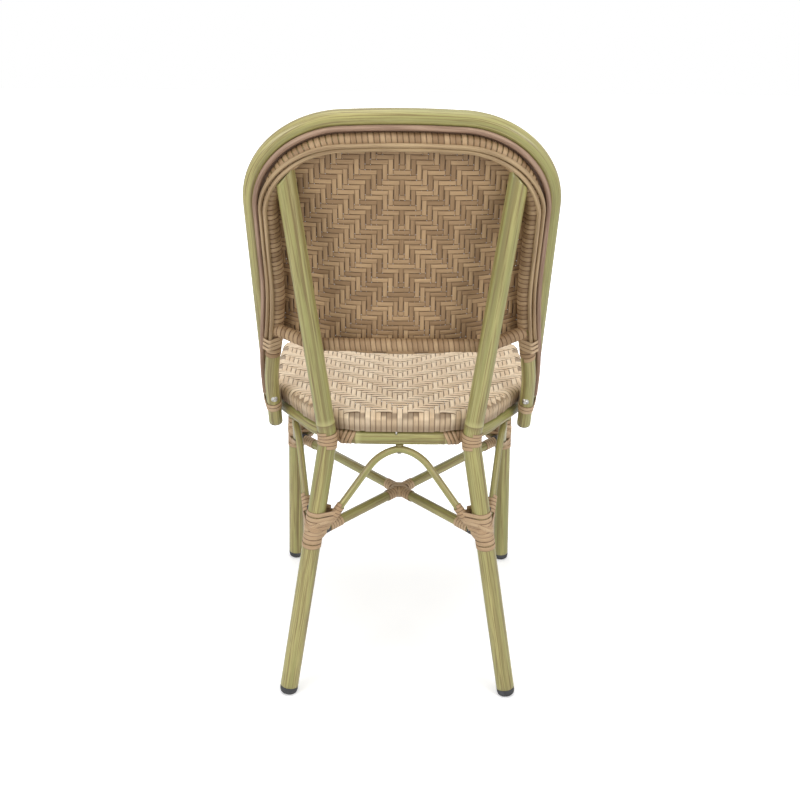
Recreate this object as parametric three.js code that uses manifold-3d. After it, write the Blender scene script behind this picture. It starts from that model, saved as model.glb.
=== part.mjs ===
// Rattan bistro chair: a bent tube frame bound with strips, a woven back and a woven seat.
// Millimetres, +Z up. The chair faces -Y and stands on Z = 0. Left is the sitter's left, +X.
import * as THREE from "three";
import { mergeVertices } from "three/addons/utils/BufferGeometryUtils.js";
import Module from "manifold-3d";

const wasm = await Module();
wasm.setup();

// Clearance between pieces that touch, and how far a cutting tool runs past what it cuts
const GAP = 0.3;
const OVERRUN = 60;
const FIT_STEPS = 24;

// Bent tubes: facets round a tube, and the turn of each facet of a bend
const TUBE_SIDES = 10;
const THIN_SIDES = 8;
const CANE_SIDES = 6;
const BEND_FACET = THREE.MathUtils.degToRad(12);
const TUBE_WALL = 1.5;

// Seat ring, flat, with a narrow rear and a wide front
const RING_RADIUS = 11;
const RING_HEIGHT = 408;
const RING_REAR = 136;
const RING_REAR_HALF = 108;
const RING_SIDE_HALF = 198;
const RING_SIDE_START = -10;
const RING_FRONT = -204;
const RING_REAR_BEND = 105;
const RING_SIDE_BEND = 100;
const RING_FRONT_BEND = 34;

// Legs. A rear leg runs on above its knee as a back post
const LEG_RADIUS = 14;
const REAR_FOOT_SIDE = 173;
const REAR_FOOT_BACK = 217;
const FRONT_FOOT_SIDE = 200;
const FRONT_FOOT_BACK = -207;
const KNEE_RISE = 2;
const KNEE_BEND = 70;
const KNEE_SPACE = 3;
const KNEE_BEND_SHARE = 0.46;
const COPE_DEPTH = 4;
const POST_COPE_DEPTH = 10;

// Foot caps
const CAP_HEIGHT = 12;
const CAP_BELOW = 5;
const CAP_SOLE_RADIUS = 6;
const CAP_STEM = 16;
const CAP_SWELL_SHARES = [[0.6, 0], [0.94, 0.4], [1, 0.7]];

// Outer hoop of the back
const HOOP_RADIUS = 11;
const HOOP_FOOT_RISE = 8;
const HOOP_FOOT_BACK = 20;
const HOOP_FOOT_OUTSET = 27;
const HOOP_FLARE = 2;
const HOOP_TOP_HEIGHT = 886.5;
const HOOP_TOP_BACK = 186;
const HOOP_CROWN_HALF = 72;
const HOOP_CROWN_RISE = 2;
const HOOP_SHOULDER_RISE = 127;
const HOOP_SIDE_STEPS = 10;
const HOOP_SHOULDER_STEPS = 10;
const HOOP_CROWN_STEPS = 2;

// Inner hoop: it stands behind the outer hoop at its feet and turns inside it further up
const INNER_FOOT_DROP = 21;
const INNER_SIDE_SPACING = 29.5;
const INNER_TOP_SPACING = 31.6;
const INNER_SPACING_START = 30;
const INNER_SPACING_RUN = 90;
const INNER_TURN_START = 60;
const INNER_TURN_RUN = 200;
const INNER_FOOT_BEARING = THREE.MathUtils.degToRad(73);
const INNER_SIDE_BEARING = THREE.MathUtils.degToRad(24);
const INNER_TOP_BEARING = THREE.MathUtils.degToRad(18.4);
const POST_TOP_BACK = 3.5;
const POST_TOP_SHARE = 0.5;

// Canes that fill the groove of the hoops and trim the back
const FILLER_RADIUS = 3.75;
const FILLER_START = 34;
const FILLER_FOOT_BEARING = THREE.MathUtils.degToRad(118);
const FILLER_SIDE_BEARING = THREE.MathUtils.degToRad(62);
const FILLER_TOP_BEARING = THREE.MathUtils.degToRad(46);
const CANE_RADIUS = 3;
const CANE_UNDER_RAIL = 5.4;
const OUTER_CANE_SIDE_BEARING = THREE.MathUtils.degToRad(160);
const OUTER_CANE_TOP_BEARING = THREE.MathUtils.degToRad(95);
const INNER_CANE_SIDE_BEARING = THREE.MathUtils.degToRad(121);
const INNER_CANE_TOP_BEARING = THREE.MathUtils.degToRad(69);

// Bottom rail of the back
const RAIL_RADIUS = 9;
const RAIL_RISE = 147;
const RAIL_FLAT_HALF = 128;
const RAIL_BEND = 40;

// Woven back panel
const PANEL_THICKNESS = 4;
const PANEL_LAP = 5;
const PANEL_COLUMN_SHARES = [0, 0.2, 0.4, 0.6, 0.78, 0.92, 1];
const PANEL_BOW_POWER = 2.6;
const PANEL_FADE_POWER = 1.4;
const PANEL_SIDE_ROWS = 7;
const PANEL_ROW_SKIP = 2;

// Woven seat pad, its tube frame and the two bars under the weave
const PAD_OVERHANG = 10.8;
const PAD_WALL = 3.1;
const PAD_RIM_RISE = 13.2;
const PAD_SPACE = 2.6;
const PAD_EDGE_ROUND = 12;
const PAD_CROWN = 6.5;
const PAD_EDGE_STEPS = 3;
const PAD_DOME_SHARES = [0.8, 0.45];
const PAD_RIM_TUCK = 1.5;
const SEAT_TUBE_RADIUS = 12;
const SEAT_TUBE_INSET = 5;
const SEAT_BAR_RADIUS = 8;
const SEAT_BAR_PLACES = [-115, 10];

// Crossed stretchers
const BAR_RADIUS = 8;
const BAR_HEIGHT = 262;

// Small arches under the seat ring, each with a spacer and a bolt
const ARCH_RADIUS = 5.5;
const ARCH_BEND = 60;
const ARCH_FACET = THREE.MathUtils.degToRad(17);
const ARCH_FOOT_DROP = 12;
const SIDE_ARCH_PLACE = 40;
const SPACER_HEIGHT = 3;
const SPACER_RADIUS = 6;
const BOLT_RADIUS = 2;
const BOLT_GRIP = 10;
const BOLT_HEAD_RADIUS = 4;
const BOLT_HEAD_HEIGHT = 2.6;

// Bolts through the feet of the two hoops
const SIDE_BOLT_PLACE = 27;
const SIDE_BOLT_RADIUS = 2.5;
const SIDE_BOLT_HEAD_RADIUS = 5;
const SIDE_BOLT_HEAD_HEIGHT = 3;
const SIDE_BOLT_GRIP = 13;

// End plugs of the hoops
const PLUG_RIM = 2;
const PLUG_STEM = 10;

// Strip bindings. Near a joint the turns of a leg binding part to let the tubes through
const STRIP_THICKNESS = 1.8;
const STRIP_PITCH = 6.9;
const STRIP_SPACE = 0.7;
const STRIP_GAP = 0.7;
const STRIP_STEPS = 12;
const LEG_BINDING_RISE = 13;
const LEG_BINDING_BELOW = 23;
const LEG_BINDING_TURNS = 7;
const JOINT_SPACE = 1.4;
const JOINT_BELOW = 13;
const JOINT_PITCH = 4.4;
const JOINT_SPREAD = THREE.MathUtils.degToRad(77);
const KNEE_BINDING_RISE = 18;
const KNEE_TURNS = 4;
const RING_BINDING_START = 16.5;
const RING_TURNS = 3;
const SIDE_BINDING_UNDER_RAIL = 35.4;
const SIDE_TURNS = 3;
const HOOP_BINDING_START = 3.5;
const HOOP_TURNS = 2;
const BAR_TURNS = 2;
const CROSS_BINDING_START = 16;
const CROSS_TURNS = 3;

const chair = new THREE.Group();

// Materials
const paint = (color, roughness) => new THREE.MeshStandardMaterial({ color, roughness, metalness: 0 });
const bamboo = () => paint(0xa9a46c, 0.45);
const strip = () => paint(0xb8946c, 0.6);
const weave = () => paint(0xc3a27a, 0.6);
const cane = () => paint(0xa5876f, 0.5);
const rubber = () => paint(0x3a3a3c, 0.7);
const steel = () => new THREE.MeshStandardMaterial({ color: 0xc9c9c6, roughness: 0.3, metalness: 1 });

// Small helpers for points
const point = (x, y, z) => new THREE.Vector3(x, y, z);
const UP = point(0, 0, 1);
const between = (a, b, share) => a.clone().lerp(b, share);
const toward = (a, b) => b.clone().sub(a).normalize();
const moved = (a, direction, distance) => a.clone().addScaledVector(direction, distance);
const blend = (a, b, share) => a + (b - a) * share;
const ease = (place, start, run) => THREE.MathUtils.smoothstep(place, start, start + run);
const across = (at) => point(-at.x, at.y, at.z);
const last = (list) => list[list.length - 1];

// The least distance from a line of points to one other point
function distanceTo(line, at) {
  const spans = line.slice(1).map((next, i) => new THREE.Line3(line[i], next));
  return Math.min(...spans.map((span) => span.closestPointToPoint(at, true, point(0, 0, 0)).distanceTo(at)));
}

// The last value that fits, on the way from one that does to one that doesn't
function lastFit(good, bad, fits) {
  let [fit, miss] = [good, bad];
  for (let i = 0; i < FIT_STEPS; i += 1) {
    const middle = (fit + miss) / 2;
    if (fits(middle)) fit = middle;
    else miss = middle;
  }
  return fit;
}


// Radii that stay clear whatever way the facets of a bore and of a rod are turned
const fitIn = (bore, sides = TUBE_SIDES) => bore * Math.cos(Math.PI / sides) - GAP;
const clearOf = (radius, sides = TUBE_SIDES) => (radius + GAP) / Math.cos(Math.PI / sides);

// Meshes as closed solids, for the cuts and joins
function welded(geometry) {
  const bare = geometry.clone();
  bare.deleteAttribute("normal");
  bare.deleteAttribute("uv");
  return mergeVertices(bare);
}

function toSolid(geometry) {
  const bare = welded(geometry);
  const vertProperties = new Float32Array(bare.attributes.position.array);
  const triVerts = new Uint32Array(bare.index.array);
  return new wasm.Manifold(new wasm.Mesh({ numProp: 3, vertProperties, triVerts }));
}

function toGeometry(solid) {
  const mesh = solid.getMesh();
  const geometry = new THREE.BufferGeometry();
  geometry.setAttribute("position", new THREE.BufferAttribute(mesh.vertProperties, 3));
  geometry.setIndex(new THREE.BufferAttribute(mesh.triVerts, 1));
  return geometry;
}

const cut = (geometry, ...tools) =>
  toGeometry(tools.reduce((solid, tool) => solid.subtract(toSolid(tool)), toSolid(geometry)));
const joined = (geometry, ...others) =>
  toGeometry(others.reduce((solid, other) => solid.add(toSolid(other)), toSolid(geometry)));

function mirrored(geometry) {
  const copy = welded(geometry);
  copy.scale(-1, 1, 1);
  const corners = copy.index.array;
  for (let i = 0; i < corners.length; i += 3) {
    [corners[i], corners[i + 1]] = [corners[i + 1], corners[i]];
  }
  return copy;
}

// Named pieces. A paired piece is modelled on the left and mirrored to the right
function add(name, geometry, material) {
  const mesh = new THREE.Mesh(geometry, material);
  mesh.name = name;
  mesh.geometry.computeVertexNormals();
  chair.add(mesh);
}

function addPair(name, geometry, makeMaterial) {
  add(`${name}_left`, geometry, makeMaterial());
  add(`${name}_right`, mirrored(geometry), makeMaterial());
}

// A route carries its own section frames, so that a section follows it exactly
class Route extends THREE.Curve {
  constructor(stations) {
    super();
    this.stations = stations;
  }

  getPoint(share) {
    return this.stations[Math.round(share * (this.stations.length - 1))].at.clone();
  }

  getSpacedPoints() {
    return this.stations.map((station) => station.at.clone());
  }

  computeFrenetFrames() {
    return {
      tangents: this.stations.map((station) => station.ahead),
      normals: this.stations.map((station) => station.out),
      binormals: this.stations.map((station) => station.across),
    };
  }
}

const directionsAlong = (points) =>
  points.map((at, i) => toward(points[Math.max(i - 1, 0)], points[Math.min(i + 1, points.length - 1)]));

function tubeStations(points) {
  const ahead = directionsAlong(points);
  const guide = Math.abs(ahead[0].z) < Math.abs(ahead[0].x) + Math.abs(ahead[0].y) ? UP : point(1, 0, 0);
  let out = guide.clone();
  return points.map((at, i) => {
    out = moved(out, ahead[i], -out.dot(ahead[i])).normalize();
    return { at, ahead: ahead[i], out, across: ahead[i].clone().cross(out) };
  });
}

function roundSection(radius, sides) {
  const corners = [];
  for (let i = 0; i < sides; i += 1) {
    const angle = (i / sides) * Math.PI * 2;
    corners.push(new THREE.Vector2(radius * Math.cos(angle), radius * Math.sin(angle)));
  }
  return new THREE.Shape(corners);
}

function extrudeAlong(section, stations) {
  const settings = { steps: stations.length - 1, extrudePath: new Route(stations), bevelEnabled: false };
  return new THREE.ExtrudeGeometry(section, settings);
}

const tube = (points, radius, sides = TUBE_SIDES) =>
  extrudeAlong(roundSection(radius, sides), tubeStations(points));
const rod = (start, end, radius, sides = TUBE_SIDES) => tube([start, end], radius, sides);

// Corners with bend radii become straight runs and arcs, as a tube bender makes them
function bentLine(corners) {
  const points = [corners[0].at];
  for (let i = 1; i < corners.length - 1; i += 1) {
    const before = toward(corners[i].at, corners[i - 1].at);
    const after = toward(corners[i].at, corners[i + 1].at);
    const turn = Math.PI - before.angleTo(after);
    const reach = corners[i].bend * Math.tan(turn / 2);
    const inward = before.clone().add(after).normalize();
    const centre = moved(corners[i].at, inward, corners[i].bend / Math.cos(turn / 2));
    const start = moved(corners[i].at, before, reach).sub(centre);
    const axis = before.clone().cross(after).normalize().negate();
    const facets = Math.max(2, Math.ceil(turn / BEND_FACET));
    for (let step = 0; step <= facets; step += 1) {
      points.push(start.clone().applyAxisAngle(axis, (turn * step) / facets).add(centre));
    }
  }
  points.push(last(corners).at);
  return points;
}

// A place at a given length along a line of points
function placeOn(points, length) {
  let walked = 0;
  for (let i = 1; i < points.length; i += 1) {
    const run = points[i - 1].distanceTo(points[i]);
    if (walked + run >= length || i === points.length - 1) {
      const ahead = toward(points[i - 1], points[i]);
      return { at: moved(points[i - 1], ahead, length - walked), ahead };
    }
    walked += run;
  }
  return null;
}

// A lathe profile of radii and heights, set on a base along an axis
function turned(profile, base, axis, sides = TUBE_SIDES) {
  const outline = profile.map(([radius, height]) => new THREE.Vector2(radius, height));
  const geometry = new THREE.LatheGeometry(outline, sides);
  const turn = new THREE.Quaternion().setFromUnitVectors(point(0, 1, 0), axis);
  geometry.applyQuaternion(turn);
  geometry.translate(base.x, base.y, base.z);
  return geometry;
}

// Seat ring
const ringCorners = [
  { at: point(0, RING_REAR, RING_HEIGHT) },
  { at: point(RING_REAR_HALF, RING_REAR, RING_HEIGHT), bend: RING_REAR_BEND },
  { at: point(RING_SIDE_HALF, RING_SIDE_START, RING_HEIGHT), bend: RING_SIDE_BEND },
  { at: point(RING_SIDE_HALF, RING_FRONT, RING_HEIGHT), bend: RING_FRONT_BEND },
  { at: point(0, RING_FRONT, RING_HEIGHT) },
];
const ringLine = bentLine(ringCorners);

function loopFrom(halfLine, radius, sides) {
  const half = tube(halfLine, radius, sides);
  return joined(half, mirrored(half));
}

// The outward side of the ring line at each of its points, so long that offset runs stay parallel
const outwardSide = (from, to) => point(from.y - to.y, to.x - from.x, 0).normalize();
const ringSides = ringLine.slice(1).map((at, i) => outwardSide(ringLine[i], at));
const ringOutward = ringLine.map((at, i) => {
  const before = ringSides[Math.max(i - 1, 0)];
  const after = ringSides[Math.min(i, ringSides.length - 1)];
  return before.clone().add(after).divideScalar(1 + before.dot(after));
});

function ringOffset(distance, height) {
  return ringLine.map((at, i) => moved(at, ringOutward[i], distance).setZ(height));
}

function ringAtPlace(y) {
  const i = ringLine.findIndex((at, k) => k > 0 && at.y <= y && at.x > RING_REAR_HALF / 2);
  const share = (ringLine[i - 1].y - y) / (ringLine[i - 1].y - ringLine[i].y);
  return between(ringLine[i - 1], ringLine[i], share);
}

// Lines of the legs. The knee stands off the rear bend of the ring
const rearTurn = Math.atan2(RING_REAR - RING_SIDE_START, RING_SIDE_HALF - RING_REAR_HALF);
const rearReach = RING_REAR_BEND * Math.tan(rearTurn / 2);
const kneeAngle = rearTurn * KNEE_BEND_SHARE;
const kneeHeight = RING_HEIGHT + KNEE_RISE;
const kneeReach = RING_REAR_BEND + RING_RADIUS + KNEE_SPACE + LEG_RADIUS;
const kneeLength = RING_REAR_HALF - rearReach + RING_REAR_BEND * kneeAngle;
const ringBindingStart = kneeLength - RING_BINDING_START - RING_TURNS * STRIP_PITCH;
const knee = point(
  RING_REAR_HALF - rearReach + kneeReach * Math.sin(kneeAngle),
  RING_REAR - RING_REAR_BEND + kneeReach * Math.cos(kneeAngle),
  kneeHeight,
);
const rearFoot = point(REAR_FOOT_SIDE, REAR_FOOT_BACK, 0);
const frontFoot = point(FRONT_FOOT_SIDE, FRONT_FOOT_BACK, 0);
const frontLegTop = point(
  RING_SIDE_HALF - RING_FRONT_BEND * (1 - Math.SQRT1_2),
  RING_FRONT + RING_FRONT_BEND * (1 - Math.SQRT1_2),
  RING_HEIGHT,
);

const atHeight = (low, high, height) => between(low, high, (height - low.z) / (high.z - low.z));
const onRearLeg = (height) => atHeight(rearFoot, knee, height);
const onFrontLeg = (height) => atHeight(frontFoot, frontLegTop, height);

// The leaning plane of the back: its outline is a side run, an elliptic shoulder and a low crown
const hoopFoot = point(0, HOOP_FOOT_BACK, RING_HEIGHT + HOOP_FOOT_RISE);
const hoopTop = point(0, HOOP_TOP_BACK, HOOP_TOP_HEIGHT);
const hoopFootHalf = ringAtPlace(HOOP_FOOT_BACK).x + HOOP_FOOT_OUTSET;
const hoopHalf = hoopFootHalf + HOOP_FLARE;
const hoopUp = toward(hoopFoot, hoopTop);
const hoopRear = point(0, hoopUp.z, -hoopUp.y);
const hoopRise = hoopFoot.distanceTo(hoopTop);
const hoopShoulder = hoopRise - HOOP_CROWN_RISE - HOOP_SHOULDER_RISE;

function hoopOutline(start) {
  const half = [];
  for (let i = 0; i < HOOP_SIDE_STEPS; i += 1) {
    const rise = blend(start, hoopShoulder, i / HOOP_SIDE_STEPS);
    half.push({ side: blend(hoopFootHalf, hoopHalf, rise / hoopShoulder), rise });
  }
  for (let i = 0; i <= HOOP_SHOULDER_STEPS; i += 1) {
    const angle = ((i / HOOP_SHOULDER_STEPS) * Math.PI) / 2;
    half.push({
      side: HOOP_CROWN_HALF + (hoopHalf - HOOP_CROWN_HALF) * Math.cos(angle),
      rise: hoopShoulder + HOOP_SHOULDER_RISE * Math.sin(angle),
    });
  }
  for (let i = 1; i <= HOOP_CROWN_STEPS; i += 1) {
    const share = 1 - i / HOOP_CROWN_STEPS;
    half.push({ side: HOOP_CROWN_HALF * share, rise: hoopRise - HOOP_CROWN_RISE * share * share });
  }
  const rest = half.slice(0, -1).reverse().map(({ side, rise }) => ({ side: -side, rise }));
  return half.concat(rest);
}

// A line that keeps beside the hoop's outline, inward by one amount and to the rear by another
function besideHoop(start, offsetAt) {
  const outline = hoopOutline(start);
  return outline.map(({ side, rise }, i) => {
    const before = outline[Math.max(i - 1, 0)];
    const after = outline[Math.min(i + 1, outline.length - 1)];
    const run = Math.hypot(after.side - before.side, after.rise - before.rise);
    const inSide = -(after.rise - before.rise) / run;
    const inRise = (after.side - before.side) / run;
    const { inset, back } = offsetAt(rise);
    const at = moved(hoopFoot, hoopUp, rise + inRise * inset);
    at.x = side + inSide * inset;
    return moved(at, hoopRear, back);
  });
}

const polar = (distance, bearing) => ({
  inset: distance * Math.cos(bearing),
  back: distance * Math.sin(bearing),
});
const shoulderShare = (rise) => THREE.MathUtils.clamp((rise - hoopShoulder) / HOOP_SHOULDER_RISE, 0, 1);

function bearingAt(rise, foot, side, top) {
  const low = blend(foot, side, ease(rise, INNER_TURN_START, INNER_TURN_RUN));
  return blend(low, top, shoulderShare(rise));
}

function innerOffset(rise) {
  const touching = 2 * HOOP_RADIUS + GAP;
  const low = blend(touching, INNER_SIDE_SPACING, ease(rise, INNER_SPACING_START, INNER_SPACING_RUN));
  const spacing = blend(low, INNER_TOP_SPACING, shoulderShare(rise));
  return polar(spacing, bearingAt(rise, INNER_FOOT_BEARING, INNER_SIDE_BEARING, INNER_TOP_BEARING));
}

function fillerOffset(rise) {
  const spacing = HOOP_RADIUS + FILLER_RADIUS + GAP;
  return polar(spacing, bearingAt(rise, FILLER_FOOT_BEARING, FILLER_SIDE_BEARING, FILLER_TOP_BEARING));
}

function caneOffset(sideBearing, topBearing) {
  const spacing = HOOP_RADIUS + CANE_RADIUS + GAP;
  return (rise) => {
    const carrier = innerOffset(rise);
    const own = polar(spacing, blend(sideBearing, topBearing, shoulderShare(rise)));
    return { inset: carrier.inset + own.inset, back: carrier.back + own.back };
  };
}

// Heights of the bottom rail, and how far up the hoop's plane it lies
const railHeight = RING_HEIGHT + RAIL_RISE;
const railReach = (railHeight - hoopFoot.z) / hoopUp.z;
const caneStart = railReach - CANE_UNDER_RAIL;

const outerHoopLine = besideHoop(0, () => ({ inset: 0, back: 0 }));
const innerHoopLine = besideHoop(-INNER_FOOT_DROP, innerOffset);
const fillerLine = besideHoop(FILLER_START, fillerOffset);
const outerCaneLine = besideHoop(caneStart, caneOffset(OUTER_CANE_SIDE_BEARING, OUTER_CANE_TOP_BEARING));
const innerCaneLine = besideHoop(caneStart, caneOffset(INNER_CANE_SIDE_BEARING, INNER_CANE_TOP_BEARING));

// The left side of the inner hoop, for what meets it at a height
const innerLeft = innerHoopLine.slice(0, (innerHoopLine.length + 1) / 2);
function innerHoopAt(height) {
  const i = innerLeft.findIndex((at) => at.z >= height);
  return atHeight(innerLeft[i - 1], innerLeft[i], height);
}

// Rear legs with their posts. A post is trimmed short of the hoop and coped to it
const postTopIndex = HOOP_SIDE_STEPS + Math.round(HOOP_SHOULDER_STEPS * POST_TOP_SHARE);
const postTop = moved(innerHoopLine[postTopIndex], hoopRear, POST_TOP_BACK);

function endPlug(end, ahead) {
  const stemRadius = fitIn(HOOP_RADIUS - TUBE_WALL);
  const profile = [[0, -PLUG_RIM], [HOOP_RADIUS, -PLUG_RIM], [HOOP_RADIUS, -GAP],
    [stemRadius, -GAP], [stemRadius, PLUG_STEM], [0, PLUG_STEM]];
  return turned(profile, end, ahead);
}

function boreAt(end, ahead, radius, depth, sides = TUBE_SIDES) {
  return rod(moved(end, ahead, -OVERRUN), moved(end, ahead, depth), radius, sides);
}

function legBore(foot, ahead) {
  return boreAt(moved(foot, ahead, CAP_HEIGHT), ahead, LEG_RADIUS - TUBE_WALL, CAP_STEM + GAP);
}

function behindHoopTool() {
  const along = toward(innerHoopLine[postTopIndex - 1], innerHoopLine[postTopIndex + 1]);
  const outward = along.clone().cross(hoopRear).normalize();
  const away = outward.dot(toward(knee, postTop)) > 0 ? outward : outward.negate();
  const size = 2 * OVERRUN;
  const box = new THREE.BoxGeometry(size, size, size);
  const middle = moved(innerHoopLine[postTopIndex], away, OVERRUN - POST_COPE_DEPTH);
  box.applyMatrix4(new THREE.Matrix4().makeBasis(away, along, away.clone().cross(along)));
  box.translate(middle.x, middle.y, middle.z);
  return box;
}

function rearLeg() {
  const ahead = toward(rearFoot, knee);
  const line = bentLine([
    { at: moved(rearFoot, ahead, CAP_HEIGHT) },
    { at: knee, bend: KNEE_BEND },
    { at: moved(postTop, toward(knee, postTop), LEG_RADIUS) },
  ]);
  const hoopTool = tube(innerHoopLine, HOOP_RADIUS + GAP);
  return cut(tube(line, LEG_RADIUS), legBore(rearFoot, ahead), behindHoopTool(), hoopTool);
}

function frontLeg(ringTool) {
  const ahead = toward(frontFoot, frontLegTop);
  const low = moved(frontFoot, ahead, CAP_HEIGHT);
  const high = moved(frontLegTop, ahead, -COPE_DEPTH);
  return cut(rod(low, high, LEG_RADIUS), legBore(frontFoot, ahead), ringTool);
}

// A foot cap follows its leg, and the ground plane cuts its sole flat
function footCap(foot, ahead) {
  const stemRadius = fitIn(LEG_RADIUS - TUBE_WALL);
  const mouth = CAP_HEIGHT - GAP;
  const swell = CAP_SWELL_SHARES.map(([out, up]) => [blend(CAP_SOLE_RADIUS, LEG_RADIUS, out), mouth * up]);
  const profile = [[0, -CAP_BELOW], [CAP_SOLE_RADIUS, -CAP_BELOW], ...swell, [LEG_RADIUS, mouth],
    [stemRadius, mouth], [stemRadius, CAP_HEIGHT + CAP_STEM], [0, CAP_HEIGHT + CAP_STEM]];
  const ground = new THREE.BoxGeometry(OVERRUN, OVERRUN, OVERRUN);
  ground.translate(foot.x, foot.y, -OVERRUN / 2);
  return cut(turned(profile, foot, ahead), ground);
}

// Bottom rail of the back, coped to the inner hoop and seated against the posts
const railEnd = innerHoopAt(railHeight);
const postAtRail = atHeight(knee, postTop, railHeight);
const railPlace = postAtRail.y - (LEG_RADIUS + RAIL_RADIUS + GAP) / toward(knee, postTop).z;

function bottomRail() {
  const corner = point(RAIL_FLAT_HALF, railPlace, railHeight);
  const half = bentLine([
    { at: point(0, railPlace, railHeight) },
    { at: corner, bend: RAIL_BEND },
    { at: railEnd },
  ]);
  const tool = tube(innerHoopLine, HOOP_RADIUS + GAP);
  const leftHalf = cut(tube(half, RAIL_RADIUS), tool);
  return joined(leftHalf, mirrored(leftHalf));
}

// Back panel: rows across the inner hoop, bowed to the rear toward the bottom rail
const panelSink = HOOP_RADIUS + GAP + PANEL_THICKNESS / 2;

function panelRows() {
  const low = atHeight(innerLeft[0], last(innerLeft), railHeight - RAIL_RADIUS).z;
  const rows = [];
  const first = innerHoopAt(low);
  const shoulder = innerHoopLine[HOOP_SIDE_STEPS];
  for (let i = 0; i < PANEL_SIDE_ROWS; i += 1) {
    rows.push(innerHoopAt(blend(first.z, shoulder.z, i / PANEL_SIDE_ROWS)));
  }
  for (let i = 0; i <= HOOP_SHOULDER_STEPS; i += PANEL_ROW_SKIP) {
    rows.push(innerHoopLine[HOOP_SIDE_STEPS + i]);
  }
  return rows.map((at) => moved(at, hoopRear, -panelSink));
}

// Columns of a row, from its lap on one side to its lap on the other, with the share of the bow
function panelColumns(edge) {
  const free = edge.x - HOOP_RADIUS - GAP;
  const half = PANEL_COLUMN_SHARES.map((share) => ({ x: free * share, bow: 1 - share ** PANEL_BOW_POWER }));
  half.push({ x: edge.x + PANEL_LAP, bow: 0 });
  const rest = half.slice(1).reverse().map(({ x, bow }) => ({ x: -x, bow }));
  return rest.concat(half);
}

// One face of the panel: its bow is greatest at the rail and fades out at the crown
function panelFace(rows, bow, face) {
  const climb = last(rows).z - rows[0].z;
  return rows.map((edge) => {
    const deep = bow * (1 - (edge.z - rows[0].z) / climb) ** PANEL_FADE_POWER;
    return panelColumns(edge).map((column) => {
      const at = edge.clone().setX(column.x);
      return moved(at, hoopRear, deep * column.bow + (face * PANEL_THICKNESS) / 2);
    });
  });
}

// The panel bows as far as the rail lets it
function backPanel() {
  const rows = panelRows();
  const rail = point(0, railPlace, railHeight);
  const middle = (face) => face.map((row) => row[PANEL_COLUMN_SHARES.length]);
  const clears = (bow) => distanceTo(middle(panelFace(rows, bow, 1)), rail) >= RAIL_RADIUS + GAP;
  const bow = lastFit(0, railPlace - rows[0].y, clears);
  return closedSheets(panelFace(rows, bow, 1), panelFace(rows, bow, -1));
}

// Two matching grids of points, closed round their edges
function closedSheets(rear, front) {
  const rows = rear.length;
  const columns = rear[0].length;
  const points = [...rear.flat(), ...front.flat()];
  const rearAt = (r, c) => r * columns + c;
  const frontAt = (r, c) => rows * columns + r * columns + c;
  const faces = [];
  const quad = (a, b, c, d) => faces.push(a, b, c, a, c, d);
  for (let r = 0; r < rows - 1; r += 1) {
    for (let c = 0; c < columns - 1; c += 1) {
      quad(rearAt(r, c), rearAt(r + 1, c), rearAt(r + 1, c + 1), rearAt(r, c + 1));
      quad(frontAt(r, c), frontAt(r, c + 1), frontAt(r + 1, c + 1), frontAt(r + 1, c));
    }
    quad(rearAt(r, 0), frontAt(r, 0), frontAt(r + 1, 0), rearAt(r + 1, 0));
    const side = columns - 1;
    quad(frontAt(r, side), rearAt(r, side), rearAt(r + 1, side), frontAt(r + 1, side));
  }
  for (let c = 0; c < columns - 1; c += 1) {
    quad(rearAt(0, c), rearAt(0, c + 1), frontAt(0, c + 1), frontAt(0, c));
    const top = rows - 1;
    quad(rearAt(top, c), frontAt(top, c), frontAt(top, c + 1), rearAt(top, c + 1));
  }
  const geometry = new THREE.BufferGeometry().setFromPoints(points);
  geometry.setIndex(faces);
  return geometry;
}

// Seat pad: rings of points up the rim, over the edge and across the dome, then back underneath
function fullRing(halfRing) {
  const rest = halfRing.slice(1, -1).reverse().map((at) => point(-at.x, at.y, at.z));
  return halfRing.concat(rest);
}

function padSkin(wall) {
  const overhang = PAD_OVERHANG - wall;
  const round = PAD_EDGE_ROUND - wall;
  const low = RING_HEIGHT + PAD_RIM_RISE;
  const edge = seatTubeHeight + SEAT_TUBE_RADIUS + PAD_SPACE + PAD_WALL - wall;
  const skin = [ringOffset(overhang - PAD_RIM_TUCK, low), ringOffset(overhang, edge - round)];
  for (let i = 1; i <= PAD_EDGE_STEPS; i += 1) {
    const angle = ((i / PAD_EDGE_STEPS) * Math.PI) / 2;
    const inward = round * (1 - Math.cos(angle));
    skin.push(ringOffset(overhang - inward, edge - round + round * Math.sin(angle)));
  }
  const rim = last(skin);
  const middle = (RING_REAR + RING_FRONT) / 2;
  PAD_DOME_SHARES.forEach((share) => {
    const height = edge + PAD_CROWN * (1 - share * share);
    skin.push(rim.map((at) => point(at.x * share, middle + (at.y - middle) * share, height)));
  });
  return { rings: skin.map(fullRing), centre: point(0, middle, edge + PAD_CROWN) };
}

function seatPad() {
  const top = padSkin(0);
  const under = padSkin(PAD_WALL);
  const rings = [...top.rings.slice().reverse(), ...under.rings];
  const count = rings[0].length;
  const points = [...rings.flat(), top.centre, under.centre];
  const faces = [];
  const topCentre = rings.length * count;
  for (let c = 0; c < count; c += 1) {
    const next = (c + 1) % count;
    faces.push(topCentre, next, c);
    for (let r = 0; r < rings.length - 1; r += 1) {
      const here = r * count;
      const below = here + count;
      faces.push(here + c, here + next, below + next, here + c, below + next, below + c);
    }
    const rim = (rings.length - 1) * count;
    faces.push(topCentre + 1, rim + c, rim + next);
  }
  const geometry = new THREE.BufferGeometry().setFromPoints(points);
  geometry.setIndex(faces);
  return geometry;
}

// The seat frame rests on the ring inside the rim of the pad
const seatTubeSpacing = RING_RADIUS + SEAT_TUBE_RADIUS + GAP;
const seatTubeHeight = RING_HEIGHT + Math.sqrt(seatTubeSpacing ** 2 - SEAT_TUBE_INSET ** 2);

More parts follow.
